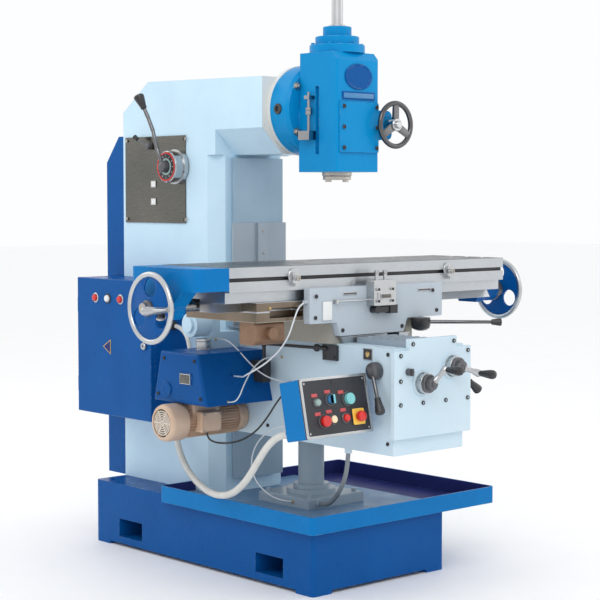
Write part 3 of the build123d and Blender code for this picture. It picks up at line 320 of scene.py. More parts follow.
def makeFinish(name, look, zones=()):
    material = bpy.data.materials.new(name)
    material.use_nodes = True
    tree = material.node_tree
    surface = tree.nodes["Principled BSDF"]
    place = tree.nodes.new("ShaderNodeTexCoord").outputs["Object"]
    colour, rough, height, metal = layerOf(tree, place, look)
    for zone in zones:
        mask = zoneMask(tree, place, zone)
        other = layerOf(tree, place, zone["look"])
        colour = linkMix(tree, "RGBA", mask, colour, other[0])
        rough = linkMix(tree, "FLOAT", mask, rough, other[1])
        height = linkMix(tree, "FLOAT", mask, height, other[2])
        if other[3] != metal or isinstance(metal, bpy.types.NodeSocket):
            metal = linkMix(tree, "FLOAT", mask, metal, other[3])
    soft = tree.nodes.new("ShaderNodeBevel")
    soft.samples = 4
    soft.inputs["Radius"].default_value = look.get("edgeRadius", 0.0015)
    if look.get("wear"):
        shape = tree.nodes.new("ShaderNodeNewGeometry")
        facing = tree.nodes.new("ShaderNodeVectorMath")
        facing.operation = "DOT_PRODUCT"
        tree.links.new(soft.outputs[0], facing.inputs[0])
        tree.links.new(shape.outputs["Normal"], facing.inputs[1])
        rubbed = spread(tree, facing.outputs["Value"], 0.985, 0.86, 0.0, 1.0)
        broken = spread(tree, noise(tree, place, 90.0, 6.0), 0.45, 0.62, 0.0, look["wear"])
        colour = linkMix(tree, "RGBA", maths(tree, "MULTIPLY", rubbed, broken), colour,
                         (*look.get("wearColour", (0.75, 0.78, 0.8)), 1))
    bump = tree.nodes.new("ShaderNodeBump")
    bump.inputs["Strength"].default_value = look.get("bump", 0.25)
    bump.inputs["Distance"].default_value = look.get("depth", 0.0006)
    tree.links.new(height, bump.inputs["Height"])
    tree.links.new(soft.outputs[0], bump.inputs["Normal"])
    tree.links.new(bump.outputs[0], surface.inputs["Normal"])
    tree.links.new(colour, surface.inputs["Base Color"])
    tree.links.new(rough, surface.inputs["Roughness"])
    if isinstance(metal, bpy.types.NodeSocket):
        tree.links.new(metal, surface.inputs["Metallic"])
    else:
        surface.inputs["Metallic"].default_value = metal
    surface.inputs["Specular IOR Level"].default_value = look.get("specular", 0.5)
    surface.inputs["Coat Weight"].default_value = look.get("coat", 0.0)
    surface.inputs["Coat Roughness"].default_value = 0.12
    return material


def enamel(colour, second, **more):
    look = {"colour": colour, "second": second, "rough": (0.24, 0.38), "grainScale": 420.0,
            "grainHeight": 0.12, "waveScale": 70.0, "waveHeight": 0.35, "bump": 0.16,
            "depth": 0.0006, "coat": 0.02, "specular": 0.1, "wear": 0.45}
    look.update(more)
    return look


def metal(colour, second, **more):
    look = {"colour": colour, "second": second, "rough": (0.2, 0.36), "grainScale": 900.0,
            "metal": 1.0, "grainHeight": 0.3, "waveHeight": 0.2, "bump": 0.18, "depth": 0.0002}
    look.update(more)
    return look


def plastic(colour, second, rough, **more):
    return {"colour": colour, "second": second, "rough": rough, **more}


looks = {
    "royal": enamel((0.001, 0.076, 0.285), (0.002, 0.088, 0.32)),
    "deep": enamel((0.001, 0.075, 0.28), (0.002, 0.086, 0.31)),
    "azure": enamel((0.001, 0.155, 0.44), (0.002, 0.18, 0.48)),
    "cerulean": enamel((0.001, 0.235, 0.54), (0.003, 0.26, 0.58)),
    "navy": enamel((0.02, 0.026, 0.13), (0.03, 0.04, 0.18), rough=(0.3, 0.5), coat=0.05),
    "pale": enamel((0.54, 0.73, 0.86), (0.58, 0.77, 0.89), wearColour=(0.35, 0.4, 0.45), wear=0.3),
    "knee": enamel((0.56, 0.7, 0.79), (0.6, 0.73, 0.81), wearColour=(0.35, 0.4, 0.45), wear=0.3),
    "saddle": enamel((0.44, 0.5, 0.56), (0.49, 0.55, 0.6), wearColour=(0.3, 0.33, 0.35),
                     wear=0.35),
    "beige": enamel((0.36, 0.34, 0.29), (0.42, 0.4, 0.35), wearColour=(0.2, 0.2, 0.2), wear=0.4),
    "stone": enamel((0.3, 0.38, 0.45), (0.35, 0.43, 0.5), wear=0.2),
    "inTray": enamel((0.14, 0.25, 0.4), (0.18, 0.3, 0.45), rough=(0.3, 0.55), coat=0.05),
    "ways": metal((0.3, 0.42, 0.52), (0.35, 0.47, 0.57), rough=(0.35, 0.5), stretch=(1, 1, 0.03),
                  metal=0.2),
    "ring": enamel((0.66, 0.68, 0.66), (0.71, 0.73, 0.71), rough=(0.3, 0.45)),
    "tableTop": metal((0.085, 0.095, 0.1), (0.13, 0.14, 0.145), rough=(0.24, 0.38),
                      stretch=(0.03, 1, 1), streak=0.3, streakColour=(0.06, 0.065, 0.07)),
    "steelDark": metal((0.13, 0.13, 0.135), (0.2, 0.2, 0.205), rough=(0.16, 0.28)),
    "guard": metal((0.33, 0.39, 0.45), (0.38, 0.44, 0.5), rough=(0.42, 0.55), stretch=(1, 1, 0.03),
                   metal=0.5),
    "ground": metal((0.5, 0.53, 0.56), (0.58, 0.6, 0.62), rough=(0.26, 0.42), stretch=(0.03, 1, 1),
                    streak=0.35, streakColour=(0.36, 0.37, 0.38)),
    "wheelDark": metal((0.09, 0.09, 0.095), (0.14, 0.14, 0.145), rough=(0.1, 0.2)),
    "turned": metal((0.4, 0.375, 0.34), (0.52, 0.49, 0.45), rough=(0.2, 0.34)),
    "chrome": metal((0.4, 0.41, 0.42), (0.52, 0.53, 0.54), rough=(0.1, 0.2), bump=0.05),
    "aluminium": metal((0.5, 0.51, 0.52), (0.6, 0.61, 0.61), rough=(0.22, 0.36)),
    "dial": metal((0.1, 0.1, 0.11), (0.15, 0.15, 0.16), rough=(0.28, 0.4), metal=0.6),
    "dialBright": metal((0.3, 0.3, 0.31), (0.38, 0.38, 0.39), rough=(0.14, 0.24)),
    "black": plastic((0.012, 0.012, 0.014), (0.022, 0.022, 0.024), (0.2, 0.34),
              grainHeight=0.1, bump=0.12, depth=0.0004, coat=0.2),
    # black steel of rods, nuts and screws; also laid in the table front's slot as painted shade
    "blackSteelAndShade": metal((0.035, 0.035, 0.04), (0.07, 0.07, 0.07), rough=(0.3, 0.5), metal=0.5),
    "panel": metal((0.11, 0.11, 0.1), (0.15, 0.145, 0.13), rough=(0.2, 0.34), stretch=(1, 0.04, 1),
                   streak=0.4, streakColour=(0.24, 0.235, 0.21)),
    "plate": plastic((0.018, 0.02, 0.026), (0.028, 0.03, 0.038), (0.35, 0.5), bump=0.1),
    "tan": metal((0.58, 0.41, 0.29), (0.66, 0.49, 0.37), rough=(0.4, 0.58), metal=0.2,
                 patchScale=18.0, waveHeight=1.0, bump=0.3, depth=0.0006),
    "tanLight": metal((0.72, 0.62, 0.52), (0.78, 0.69, 0.6), rough=(0.35, 0.5), metal=0.2),
    # brown under the table's front: painted shade and warm reflection laid over greasy steel
    "greasyBrownShade": metal((0.17, 0.135, 0.1), (0.25, 0.205, 0.155), rough=(0.3, 0.45),
                    stretch=(0.05, 1, 1)),
    "copper": metal((0.2, 0.11, 0.065), (0.3, 0.18, 0.11), rough=(0.35, 0.55), metal=0.3,
                    patchScale=20.0),
    "red": plastic((0.58, 0.012, 0.01), (0.68, 0.025, 0.018), (0.22, 0.34), bump=0.08,
            coat=0.3),
    "redTag": plastic((0.5, 0.06, 0.07), (0.58, 0.1, 0.1), (0.4, 0.5), bump=0.08),
    "yellow": plastic((0.85, 0.5, 0.05), (0.9, 0.56, 0.08), (0.3, 0.42), bump=0.08),
    "cyan": plastic((0.16, 0.52, 0.54), (0.2, 0.57, 0.58), (0.22, 0.34), bump=0.08,
             coat=0.3),
    "cream": plastic((0.85, 0.7, 0.45), (0.88, 0.75, 0.52), (0.25, 0.38), bump=0.08),
    "blue": plastic((0.05, 0.2, 0.42), (0.07, 0.24, 0.47), (0.22, 0.34), bump=0.08),
    "greyGreen": plastic((0.26, 0.38, 0.36), (0.32, 0.43, 0.41), (0.25, 0.4), bump=0.08),
    "white": plastic((0.74, 0.75, 0.74), (0.8, 0.81, 0.8), (0.35, 0.5), bump=0.1),
    "sleeve": plastic((0.68, 0.68, 0.65), (0.58, 0.58, 0.55), (0.42, 0.6), bump=0.2,
               patchScale=16.0),
    "greyHose": plastic((0.24, 0.27, 0.29), (0.19, 0.22, 0.24), (0.45, 0.6), bump=0.2),
    "nylon": plastic((0.72, 0.76, 0.8), (0.64, 0.68, 0.72), (0.2, 0.36), bump=0.1,
              coat=0.2),
    "brass": metal((0.62, 0.42, 0.17), (0.7, 0.5, 0.23), rough=(0.22, 0.36)),
    # near-black for printed marks; also the painted shade disc inside the motor cowl
    "gap": plastic((0.012, 0.012, 0.014), (0.02, 0.02, 0.022), (0.6, 0.8), bump=0.1),
}
finishes = {key: makeFinish(key + "Finish", look) for key, look in looks.items()}
print("finishes ready", len(finishes))


# camera and cords come first

camera = {"place": (-3.5406, -4.1223, 1.1970), "down": 3.603, "heading": 48.032, "lens": 98.13}

bpy.ops.object.camera_add(location=camera["place"], rotation=(
    math.radians(90 - camera["down"]), 0, math.radians(camera["heading"] - 90)))
eye = bpy.context.object
eye.data.lens = camera["lens"]
eye.data.sensor_width = 36
eye.data.clip_end = 60
bpy.context.scene.camera = eye


def centreLine(name, points, fineness):
    curve = bpy.data.curves.new(name + "Route", "CURVE")
    curve.dimensions = "3D"
    spline = curve.splines.new("NURBS")
    spline.points.add(len(points) - 1)
    for spot, point in zip(spline.points, points):
        spot.co = (*point, 1)
    spline.order_u = 3
    spline.use_endpoint_u = True
    spline.resolution_u = fineness
    route = bpy.data.objects.new(name + "Route", curve)
    bpy.context.collection.objects.link(route)
    mesh = bpy.data.meshes.new_from_object(route)
    line = [vert.co.copy() for vert in mesh.vertices]
    bpy.data.objects.remove(route)
    bpy.data.meshes.remove(mesh)
    return line


def tubeAlong(name, line, radius, sides=14, ribPitch=0.0, ribDepth=0.0):
    verts, faces = [], []
    across = Vector((0, 0, 1)).cross(line[1] - line[0])
    if across.length < 1e-6:
        across = Vector((1, 0, 0))
    travelled = 0.0
    for place, point in enumerate(line):
        ahead = line[min(place + 1, len(line) - 1)] - line[max(place - 1, 0)]
        ahead.normalize()
        across = (across - ahead * across.dot(ahead)).normalized()
        up = ahead.cross(across)
        if place:
            travelled += (point - line[place - 1]).length
        size = radius
        if ribPitch:
            size = radius - ribDepth * (0.5 - 0.5 * math.cos(math.tau * travelled / ribPitch))
        for turn in range(sides):
            angle = math.tau * turn / sides
            verts.append(point + (across * math.cos(angle) + up * math.sin(angle)) * size)
    for place in range(len(line) - 1):
        for turn in range(sides):
            a = place * sides + turn
            b = place * sides + (turn + 1) % sides
            faces.append((a, b, b + sides, a + sides))
    faces.append(tuple(reversed(range(sides))))
    faces.append(tuple(range((len(line) - 1) * sides, len(line) * sides)))
    mesh = bpy.data.meshes.new(name)
    mesh.from_pydata(verts, [], faces)
    piece = bpy.data.objects.new(name, mesh)
    bpy.context.collection.objects.link(piece)
    return piece


tubing = {"radius": 0.0022, "pitch": 0.0, "depth": 0.0, "fineness": 14, "sides": 10,
          "finish": "nylon", "slot": "tube_clear", "node": None, "between": ("knee",)}
cords = {
    "conduitSleeve": {**tubing,
        "points": [(-0.205, 0.214, 0.452), (-0.209, 0.203, 0.397), (-0.220, 0.167, 0.343),
                   (-0.241, 0.100, 0.297), (-0.270, 0.008, 0.268), (-0.306, -0.098, 0.257),
                   (-0.342, -0.206, 0.266), (-0.372, -0.302, 0.294), (-0.396, -0.388, 0.346),
                   (-0.411, -0.452, 0.408), (-0.417, -0.507, 0.467), (-0.418, -0.5618, 0.5043),
                   (-0.418, -0.6225, 0.5172)],
        "radius": 0.011, "length": 1.036, "pitch": 0.0085, "depth": 0.0016, "fineness": 90,
        "sides": 16, "finish": "sleeve", "slot": "hose_white", "node": "pendant_conduit",
        "between": ("frame", "knee")},
    "greyCoolantHose": {**tubing,
        "points": [(-0.139, -0.560, 0.430), (-0.138, -0.555, 0.382), (-0.131, -0.533, 0.330),
                   (-0.117, -0.492, 0.284), (-0.099, -0.441, 0.248), (-0.084, -0.399, 0.233),
                   (-0.082, -0.364, 0.232)],
        "radius": 0.007, "length": 0.314, "fineness": 16, "sides": 14, "finish": "greyHose",
        "slot": "hose_grey", "node": "grey_hose", "between": ("knee", "frame")},
    "saddleOilTube": {**tubing,
        "points": [(-0.290, -0.532, 0.8857), (-0.318, -0.535, 0.8777), (-0.340, -0.537, 0.836),
                   (-0.354, -0.528, 0.784), (-0.368, -0.500, 0.740), (-0.379, -0.456, 0.704),
                   (-0.380, -0.404, 0.678), (-0.366, -0.350, 0.660), (-0.340, -0.304, 0.648),
                   (-0.308, -0.262, 0.642), (-0.300, -0.208, 0.640)],
        "radius": 0.0025, "length": 0.517, "fineness": 12, "node": "oil_tube",
        "between": ("saddle", "knee")},
    "feedHose": {**tubing,
        "points": [(-0.236, 0.1865, 0.773), (-0.238, 0.150, 0.770), (-0.246, 0.108, 0.757),
                   (-0.262, 0.068, 0.736), (-0.280, 0.038, 0.712), (-0.291, 0.014, 0.690)],
        "radius": 0.0075, "pitch": 0.005, "depth": 0.0009, "fineness": 40, "sides": 14,
        "finish": "sleeve", "slot": "hose_white", "between": ("frame", "knee")},
    "motorCable": {**tubing,
        "points": [(-0.330, -0.112, 0.4595), (-0.330, -0.114, 0.440), (-0.324, -0.138, 0.426),
                   (-0.303, -0.178, 0.424), (-0.278, -0.222, 0.436), (-0.256, -0.264, 0.466),
                   (-0.240, -0.300, 0.512), (-0.222, -0.328, 0.566), (-0.192, -0.336, 0.596),
                   (-0.1495, -0.337, 0.600)],
        "radius": 0.003, "finish": "black", "slot": None},
    "caseOilTube": {**tubing,
        "points": [(-0.250, -0.0595, 0.742), (-0.250, -0.088, 0.746), (-0.252, -0.128, 0.741),
                   (-0.249, -0.172, 0.715), (-0.240, -0.216, 0.676), (-0.222, -0.258, 0.642),
                   (-0.192, -0.292, 0.624), (-0.1495, -0.312, 0.616)]},
    "kneeOilTube": {**tubing,
        "points": [(-0.1495, -0.268, 0.694), (-0.188, -0.268, 0.700), (-0.236, -0.270, 0.692),
                   (-0.278, -0.270, 0.662), (-0.308, -0.270, 0.620), (-0.326, -0.270, 0.584),
                   (-0.331, -0.252, 0.563), (-0.331, -0.2165, 0.561)]},
    "columnOilTube": {**tubing,
        "points": [(-0.1495, -0.300, 0.478), (-0.178, -0.284, 0.478), (-0.187, -0.236, 0.456),
                   (-0.187, -0.180, 0.408), (-0.185, -0.154, 0.346), (-0.180, -0.172, 0.290),
                   (-0.170, -0.218, 0.254), (-0.152, -0.262, 0.236), (-0.1195, -0.288, 0.232)],
        "between": ("knee", "frame")},
}

for name, facts in cords.items():
    line = centreLine(name, facts["points"], facts["fineness"])
    if "length" not in facts:
        facts["length"] = sum((b - a).length for a, b in zip(line, line[1:]))
        for tail, inner, tag in ((line[0], line[2], "NearNut"), (line[-1], line[-3], "FarNut")):
            size = facts["radius"]
            lathe(name + tag, [(-0.002, size * 2.1), (size * 2, size * 2.1),
                               (size * 2.3, size * 1.8), (size * 2.3, size * 1.3),
                               (size * 3, size * 1.2), (size * 3, size * 0.5)],
                  standing(tail, inner - tail), facts["between"][0 if tag == "NearNut" else -1],
                  "blackSteelAndShade" if size > 0.0025 else "brass", sides=6)
    piece = tubeAlong(name, line, facts["radius"], facts["sides"], facts["pitch"], facts["depth"])
    finishPiece(piece, None, finishes[facts["finish"]], smooth=60)
    if len(facts["between"]) == 2:
        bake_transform(piece)
    else:
        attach(piece, facts["between"][0])
    if facts["node"]:
        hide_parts(facts["node"])
print("camera and cords ready")


# finishes of the pieces that keep their own shape

tableTop = high("table").z
trayTop = high("coolant_tray").z
baseTop = high("base").z
kneeTop = low("way_guard").z
columnSide = high("speed_panel").x
ringFront = low("column").y
neckFront = ringFront + 0.018


def anywhere(look, lowCorner=(None, None, None), highCorner=(None, None, None)):
    return {"look": looks[look], "low": lowCorner, "high": highCorner}


trayLow, trayHigh = low("coolant_tray"), high("coolant_tray")
trayWall = 0.0045
skin = 0.0006
zoned = {
    "column": ("pale", [anywhere("ways", (-0.1085, None, 0.262), (0.1085, 0.0497, 1.325)),
                        anywhere("ring", highCorner=(None, neckFront, None))]),
    # inside its walls the tray is coloured dark navy: painted shade in the recess
    "coolant_tray": ("azure", [anywhere(
        "navy", (trayLow.x + trayWall, trayLow.y + trayWall, trayLow.z + 0.004),
        (trayHigh.x - trayWall, trayHigh.y - trayWall, trayTop - skin))]),
    "base": ("deep", [anywhere("inTray", (-0.284, -0.559, baseTop - 0.0008),
                               (0.284, 0.165, None))]),
    "top_cap": ("cerulean", [anywhere("aluminium", (None, None, 1.7285))]),
    "saddle": ("saddle", [anywhere("ground", (None, None, 0.8885)),
                          # the saddle's left overhang under the table's front gets painted shade
                          # and warm reflection over greasy steel
                          anywhere("greasyBrownShade", (None, None, 0.8325), (-0.2865, None, 0.8885)),
                          anywhere("beige", highCorner=(None, None, 0.8325)),
                          anywhere("ground", (None, None, 0.8595), (None, -0.2475, 0.8635))]),
    "table": ("ground", [anywhere("tableTop", (None, None, tableTop - skin)),
                         # the inner faces of the table front's slot are coloured black: painted
                         # shade in the slot
                         anywhere("blackSteelAndShade", (None, low("table").y + 0.001, 0.9525),
                                  (None, -0.4, 0.9645))]),
    "knee": ("knee", [anywhere("ground", (None, None, kneeTop + skin))]),
    "left_bracket": ("azure", []),
}
plain = {
    "screw_column": "stone", "rear_cover": "royal", "main_motor": "guard",
    "drive_shaft": "turned", "electrical_cabinet": "royal", "cabinet_door": "royal",
    "speed_panel": "panel", "speed_dial": "chrome", "head_housing": "cerulean",
    "head_cover": "cerulean", "depth_stop": "dialBright", "quill": "turned", "spindle": "turned",
    "drawbar": "turned", "drive_gear": "turned", "quill_wheel": "chrome",
    "knee_front_plate": "knee", "way_guard": "guard", "knee_way_cover": "guard",
    "elevating_screw": "turned", "cross_screw": "turned", "rapid_knob": "dial",
    "feed_case": "royal", "feed_bracket": "pale", "feed_link": "blackSteelAndShade",
    "pendant_box": "azure", "pendant_panel": "plate", "start_button": "cream",
    "stop_button": "red", "jog_button": "cyan", "emergency_stop": "red", "mode_switch": "blue",
    "saddle_apron": "saddle", "trip_box": "aluminium", "trip_lever": "black",
    "feed_reverse": "copper", "right_bracket": "royal", "table_dogs": "aluminium",
    "table_screw": "turned",
}


def dress(node, finish):
    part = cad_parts[node]
    if not part.material_slots:
        part.data.materials.append(finish)
    for place in part.material_slots:
        place.material = finish


for node, finish in plain.items():
    dress(node, finishes[finish])
for node, (look, zones) in zoned.items():
    dress(node, makeFinish(node + "Finish", looks[look], zones))
print("finishes laid on", len(plain) + len(zoned), "pieces")


# floor and lights

studio = {"floorSize": 60, "worldStrength": 1.0, "keyPower": 62, "fillPower": 18, "backPower": 26}

clearPick()
bpy.ops.mesh.primitive_plane_add(size=studio["floorSize"], location=(0, 0, 0))
floor = bpy.context.object
floor.name = "studioFloor"
pale = {"colour": (0.95, 0.95, 0.95), "second": (0.97, 0.97, 0.97), "rough": (0.6, 0.7),
        "bump": 0.02}
floor.data.materials.append(makeFinish("floorFinish", pale))
world = bpy.data.worlds.new("studioWorld")
world.use_nodes = True
world.node_tree.nodes["Background"].inputs[0].default_value = (0.985, 0.99, 1.0, 1)
world.node_tree.nodes["Background"].inputs[1].default_value = studio["worldStrength"]
bpy.context.scene.world = world
bpy.context.scene.view_settings.view_transform = "Standard"
lamps = (((-3.2, -3.4, 4.2), studio["keyPower"], 2.6),
         ((3.8, -3.0, 2.6), studio["fillPower"], 3.0),
         ((-2.0, 3.6, 3.6), studio["backPower"], 3.0))
for place, power, size in lamps:
    bpy.ops.object.light_add(type="AREA", location=place)
    lamp = bpy.context.object
    lamp.data.energy = power
    lamp.data.size = size
    lamp.rotation_euler = (Vector((0, 0, 0.9)) - Vector(place)).to_track_quat("-Z", "Y").to_euler()


# screws, one kind modelled once and copied

def screwHead(radius, height, sides=20):
    steps = [(0, radius), (height * 0.78, radius), (height, radius * 0.86), (height, radius * 0.5),
             (height * 0.4, radius * 0.46), (height * 0.4, radius * 0.05)]
    return turned("screwHead", steps, sides)


def screwSet(name, body, spots, along, radius, height, finish="blackSteelAndShade", sides=20):
    first = screwHead(radius, height, sides)
    pieces = [copyOf(first, name) for _ in spots[1:]] + [first]
    for piece, spot in zip(pieces, spots):
        setDown(piece, spot, along)
    return finishPiece(joined(name, pieces), body, finishes[finish])


# handwheels of the table screw

wheel = {"rim": 0.097, "rimThick": 0.0082, "web": 0.006, "webRadius": 0.0915, "hub": 0.0245,
         "opening": 0.0275, "openingPlace": 0.0585, "handle": 0.088, "handlePlace": 0.091}


def handwheel(side, node, place, handleAngle):
    out = Vector((side, 0, 0))
    tag = "left" if side < 0 else "right"
    lathe(tag + "Rim", ringSteps(wheel["rim"], wheel["rimThick"], 16), standing(place, out),
          "table_screw", "aluminium", (node,), sides=80, ring=True)
    half = wheel["web"] / 2
    web = turned(tag + "Web", [(-half - 0.004, wheel["hub"]), (-half, 0.034),
                               (-half, wheel["webRadius"]), (half, wheel["webRadius"]),
                               (half, 0.034), (half + 0.004, wheel["hub"])], 72)
    cutters = []
    for turn in range(3):
        angle = math.radians(90 + 120 * turn)
        spot = (wheel["openingPlace"] * math.cos(angle), wheel["openingPlace"] * math.sin(angle),
                -0.03)
        cutters.append(setDown(turned("opening", [(0, wheel["opening"]), (0.06, wheel["opening"])],
                                      36), spot))
    cutAway(web, cutters)
    softEdges(web, 0.0016)
    placed(web, standing(place, out), "table_screw", "royal")
    reach = 0.0425
    lathe(tag + "Hub", [(-reach, 0.035), (-reach + 0.009, 0.035), (-reach + 0.0095, 0.0265),
                        (-0.02, 0.0265), (-0.0185, 0.0285), (-0.01, 0.0285), (-0.008, 0.0245),
                        (0.016, 0.0235), (0.02, 0.019), (0.02, 0.0125), (0.026, 0.0125),
                        (0.028, 0.0105), (0.028, 0.0005)], standing(place, out), "table_screw",
          "dial")
    teeth = []
    for turn in range(6):
        tooth = slab("tooth", (0.008, 0.0065, 0.011), edge=0.001)
        teeth.append(lay(tooth, around(math.tau * turn / 6, (0.0285, 0, -0.031))))
    placed(joined(tag + "Clutch", teeth), standing(place, out), "table_screw", "dial")
    bore = wheel["handle"]
    grip = turned(tag + "Grip", [(-0.011, 0.0065), (-0.009, 0.009), (0.006, 0.009),
                                 (0.008, 0.0065), (0.012, 0.0065), (0.014, 0.008), (0.03, 0.0098),
                                 (bore * 0.75, 0.0128), (bore * 0.95, 0.0135),
                                 (bore + 0.006, 0.0105), (bore + 0.011, 0.004),
                                 (bore + 0.0115, 0.0005)], 32)
    way = Vector((0, math.cos(handleAngle), math.sin(handleAngle)))
    placed(grip, standing(Vector(place) + way * wheel["handlePlace"], out), "table_screw",
           "chrome")


wheelY = (low("table").y + high("table").y) / 2
screwZ = (low("table_screw").z + high("table_screw").z) / 2
handwheel(-1, "left_wheel", (low("table").x - 0.161, wheelY, screwZ), math.pi)
handwheel(1, "right_wheel", (high("table").x + 0.161, wheelY, screwZ), 0.0)


def graduated(name, body, place, along, radius, width, marks, ringFinish, markFinish):
    # a dial ring with raised graduation marks round its rim
    lathe(name, [(0, radius - 0.003), (0.0012, radius), (width - 0.0012, radius),
                 (width, radius - 0.0012), (width, radius - 0.006),
                 (width - 0.002, radius - 0.0065), (width - 0.002, 0.014)], standing(place, along),
          body, ringFinish, sides=72)
    lines = []
    for turn in range(marks):
        length = width * (0.52 if turn % 5 == 0 else 0.3)
        line = slab("mark", (0.0012, 0.0007, length))
        lines.append(lay(line, around(math.tau * turn / marks, (radius, 0, 0.0014))))
    placed(joined(name + "Marks", lines), standing(place, along), body, markFinish)


for side, tag in ((-1, "left"), (1, "right")):
    edge = low("left_bracket").x if side < 0 else high("right_bracket").x
    graduated(tag + "ScrewDial", "table_screw", (edge + side * 0.0004, wheelY, screwZ),
              (side, 0, 0), 0.0385, 0.012, 40, "aluminium" if side < 0 else "dial",
              "gap" if side < 0 else "white")
print("handwheels ready")


# cranks on the knee's front

crank = {"dial": 0.031, "arm": 0.052, "knobLength": 0.062, "depth": 0.062}


def frontCrank(tag, node, body, x, z, angle):
    face = low("knee_front_plate").y
    out = Vector(toFront)
    centre = Vector((x, face - 0.0003, z))
    graduated(tag + "Dial", body, centre, out, crank["dial"], 0.022, 50, "aluminium", "gap")
    lathe(tag + "Bezel", [(0.020, 0.0205), (0.0225, 0.0275), (0.03, 0.0275), (0.032, 0.0255),
                          (0.032, 0.0195), (0.045, 0.0185), (0.047, 0.0165), (0.0475, 0.0095),
                          (0.05, 0.0095), (0.0515, 0.008), (0.0515, 0.0005)],
          standing(centre, out), body, "dial", (node,))
    way = Vector((math.cos(angle), 0, math.sin(angle)))
    start = centre + out * 0.038
    tip = centre + way * crank["arm"] + out * crank["depth"]
    length = (tip - start).length
    lathe(tag + "Arm", [(0, 0.0095), (0.012, 0.011), (0.022, 0.0088), (length - 0.02, 0.0075),
                        (length - 0.01, 0.0105), (length + 0.002, 0.0118),
                        (length + 0.009, 0.0085), (length + 0.0115, 0.0005)],
          standing(start, tip - start), body, "chrome", sides=32)
    size = crank["knobLength"]
    lathe(tag + "Knob", [(0.006, 0.006), (0.010, 0.006), (0.0105, 0.0088), (0.02, 0.0098),
                         (size - 0.014, 0.0135), (size - 0.004, 0.0138), (size + 0.002, 0.0118),
                         (size + 0.0045, 0.006), (size + 0.0048, 0.0005)], standing(tip, out),
          body, "black", sides=32)


frontCrank("cross", "cross_crank", "cross_feed", 0.075, 0.690, math.radians(-23))
frontCrank("lift", "lift_crank", "lift_crank", -0.052, 0.648, math.radians(55))


# levers: a hub, a rod and a black conical knob

def lever(tag, node, body, hubPlace, hubAlong, hubRadius, hubLong, bends, knobLong,
          knobRadius=0.015, rod=0.0062, hubFinish="dial"):
    lathe(tag + "LeverHub", [(0, hubRadius * 0.92), (0.002, hubRadius),
                             (hubLong * 0.55, hubRadius), (hubLong * 0.8, hubRadius * 0.9),
                             (hubLong * 0.94, hubRadius * 0.62), (hubLong, hubRadius * 0.3),
                             (hubLong, 0.0005)], standing(hubPlace, hubAlong), body, hubFinish,
          (node,))
    rods = []
    for start, end in zip(bends, bends[1:]):
        reach = (Vector(end) - Vector(start)).length
        bar = turned("bar", [(-rod * 0.4, rod * 0.7), (0, rod), (reach * 0.5, rod * 0.94),
                             (reach, rod * 0.9), (reach + rod * 0.4, rod * 0.65)], 24)
        rods.append(setDown(bar, start, Vector(end) - Vector(start)))
    finishPiece(joined(tag + "LeverRod", rods), body, finishes["steelDark"])
    last = Vector(bends[-1])
    way = (last - Vector(bends[-2])).normalized()
    lathe(tag + "LeverKnob", [(-0.004, rod * 1.05), (-0.003, rod * 1.5),
                              (knobLong * 0.1, rod * 1.55), (knobLong * 0.8, knobRadius),
                              (knobLong * 0.94, knobRadius * 0.96),
                              (knobLong * 1.02, knobRadius * 0.7),
                              (knobLong * 1.05, knobRadius * 0.3), (knobLong * 1.055, 0.0005)],
          standing(last, way), body, "black", sides=32)


kneeSide = 0.1503
leverY = -0.695
leverZ = 0.684
ballLevers = ((-1, "left", 0.040, 0.078, 0.016), (1, "right", 0.010, 0.062, 0.074))
for side, tag, lean, drop, out in ballLevers:
    wall = side * kneeSide
    start = (wall + side * 0.022, leverY, leverZ)
    tip = (start[0] + side * out, leverY - lean, leverZ - drop)
    lever(tag, tag + "_lever", tag + "_lever", (wall, leverY, leverZ), (side, 0, 0), 0.0265, 0.033,
          [start, tip], 0.046)
dialFace = low("speed_dial").x - 0.0003
dialY = (low("speed_dial").y + high("speed_dial").y) / 2
dialZ = (low("speed_dial").z + high("speed_dial").z) / 2
lever("speed", "speed_lever", "speed_lever", (dialFace, dialY, dialZ), toLeft, 0.0185, 0.026,
      [(dialFace - 0.014, dialY, dialZ), (dialFace - 0.028, dialY + 0.013, dialZ + 0.062),
       (dialFace - 0.035, dialY + 0.025, dialZ + 0.120),
       (dialFace - 0.044, dialY + 0.04, dialZ + 0.165),
       (dialFace - 0.052, dialY + 0.052, dialZ + 0.196)], 0.046, 0.018, 0.007)
rangeY = dialY + 0.150
rangeZ = dialZ + 0.072
panelFace = columnSide - 0.0045
lever("range", "range_lever", "range_lever", (panelFace, rangeY, rangeZ), toLeft, 0.0115, 0.022,
      [(panelFace - 0.014, rangeY, rangeZ), (panelFace - 0.026, rangeY + 0.044, rangeZ + 0.026)],
      0.014, 0.0095, 0.0048)
feedZ = 0.8055
feedWay = Vector((math.cos(math.radians(-45)), math.sin(math.radians(-45)), 0))
feedStart = Vector((0.173, -0.561, feedZ))
lever("feed", "feed_lever", "feed_lever", (0.173, -0.561, 0.8193), (0, 0, -1), 0.031, 0.042,
      [tuple(feedStart + feedWay * 0.02), tuple(feedStart + feedWay * 0.225)], 0.028, 0.0125,
      0.006, "black")
print("cranks and levers ready")

# details laid on faces

def facing(side, place):
    across = {"left": toFront, "front": toRight, "right": (0, 1, 0), "back": toLeft}[side]
    matrix = Matrix((Vector(across), Vector((0, 0, 1)),
                     Vector(across).cross(Vector((0, 0, 1))))).transposed()
    matrix = matrix.to_4x4()
    matrix.translation = place
    return matrix


def shifted(matrix, x, y, z=0.0, roll=0.0):
    return matrix @ Matrix.Translation((x, y, z)) @ Matrix.Rotation(roll, 4, "Z")


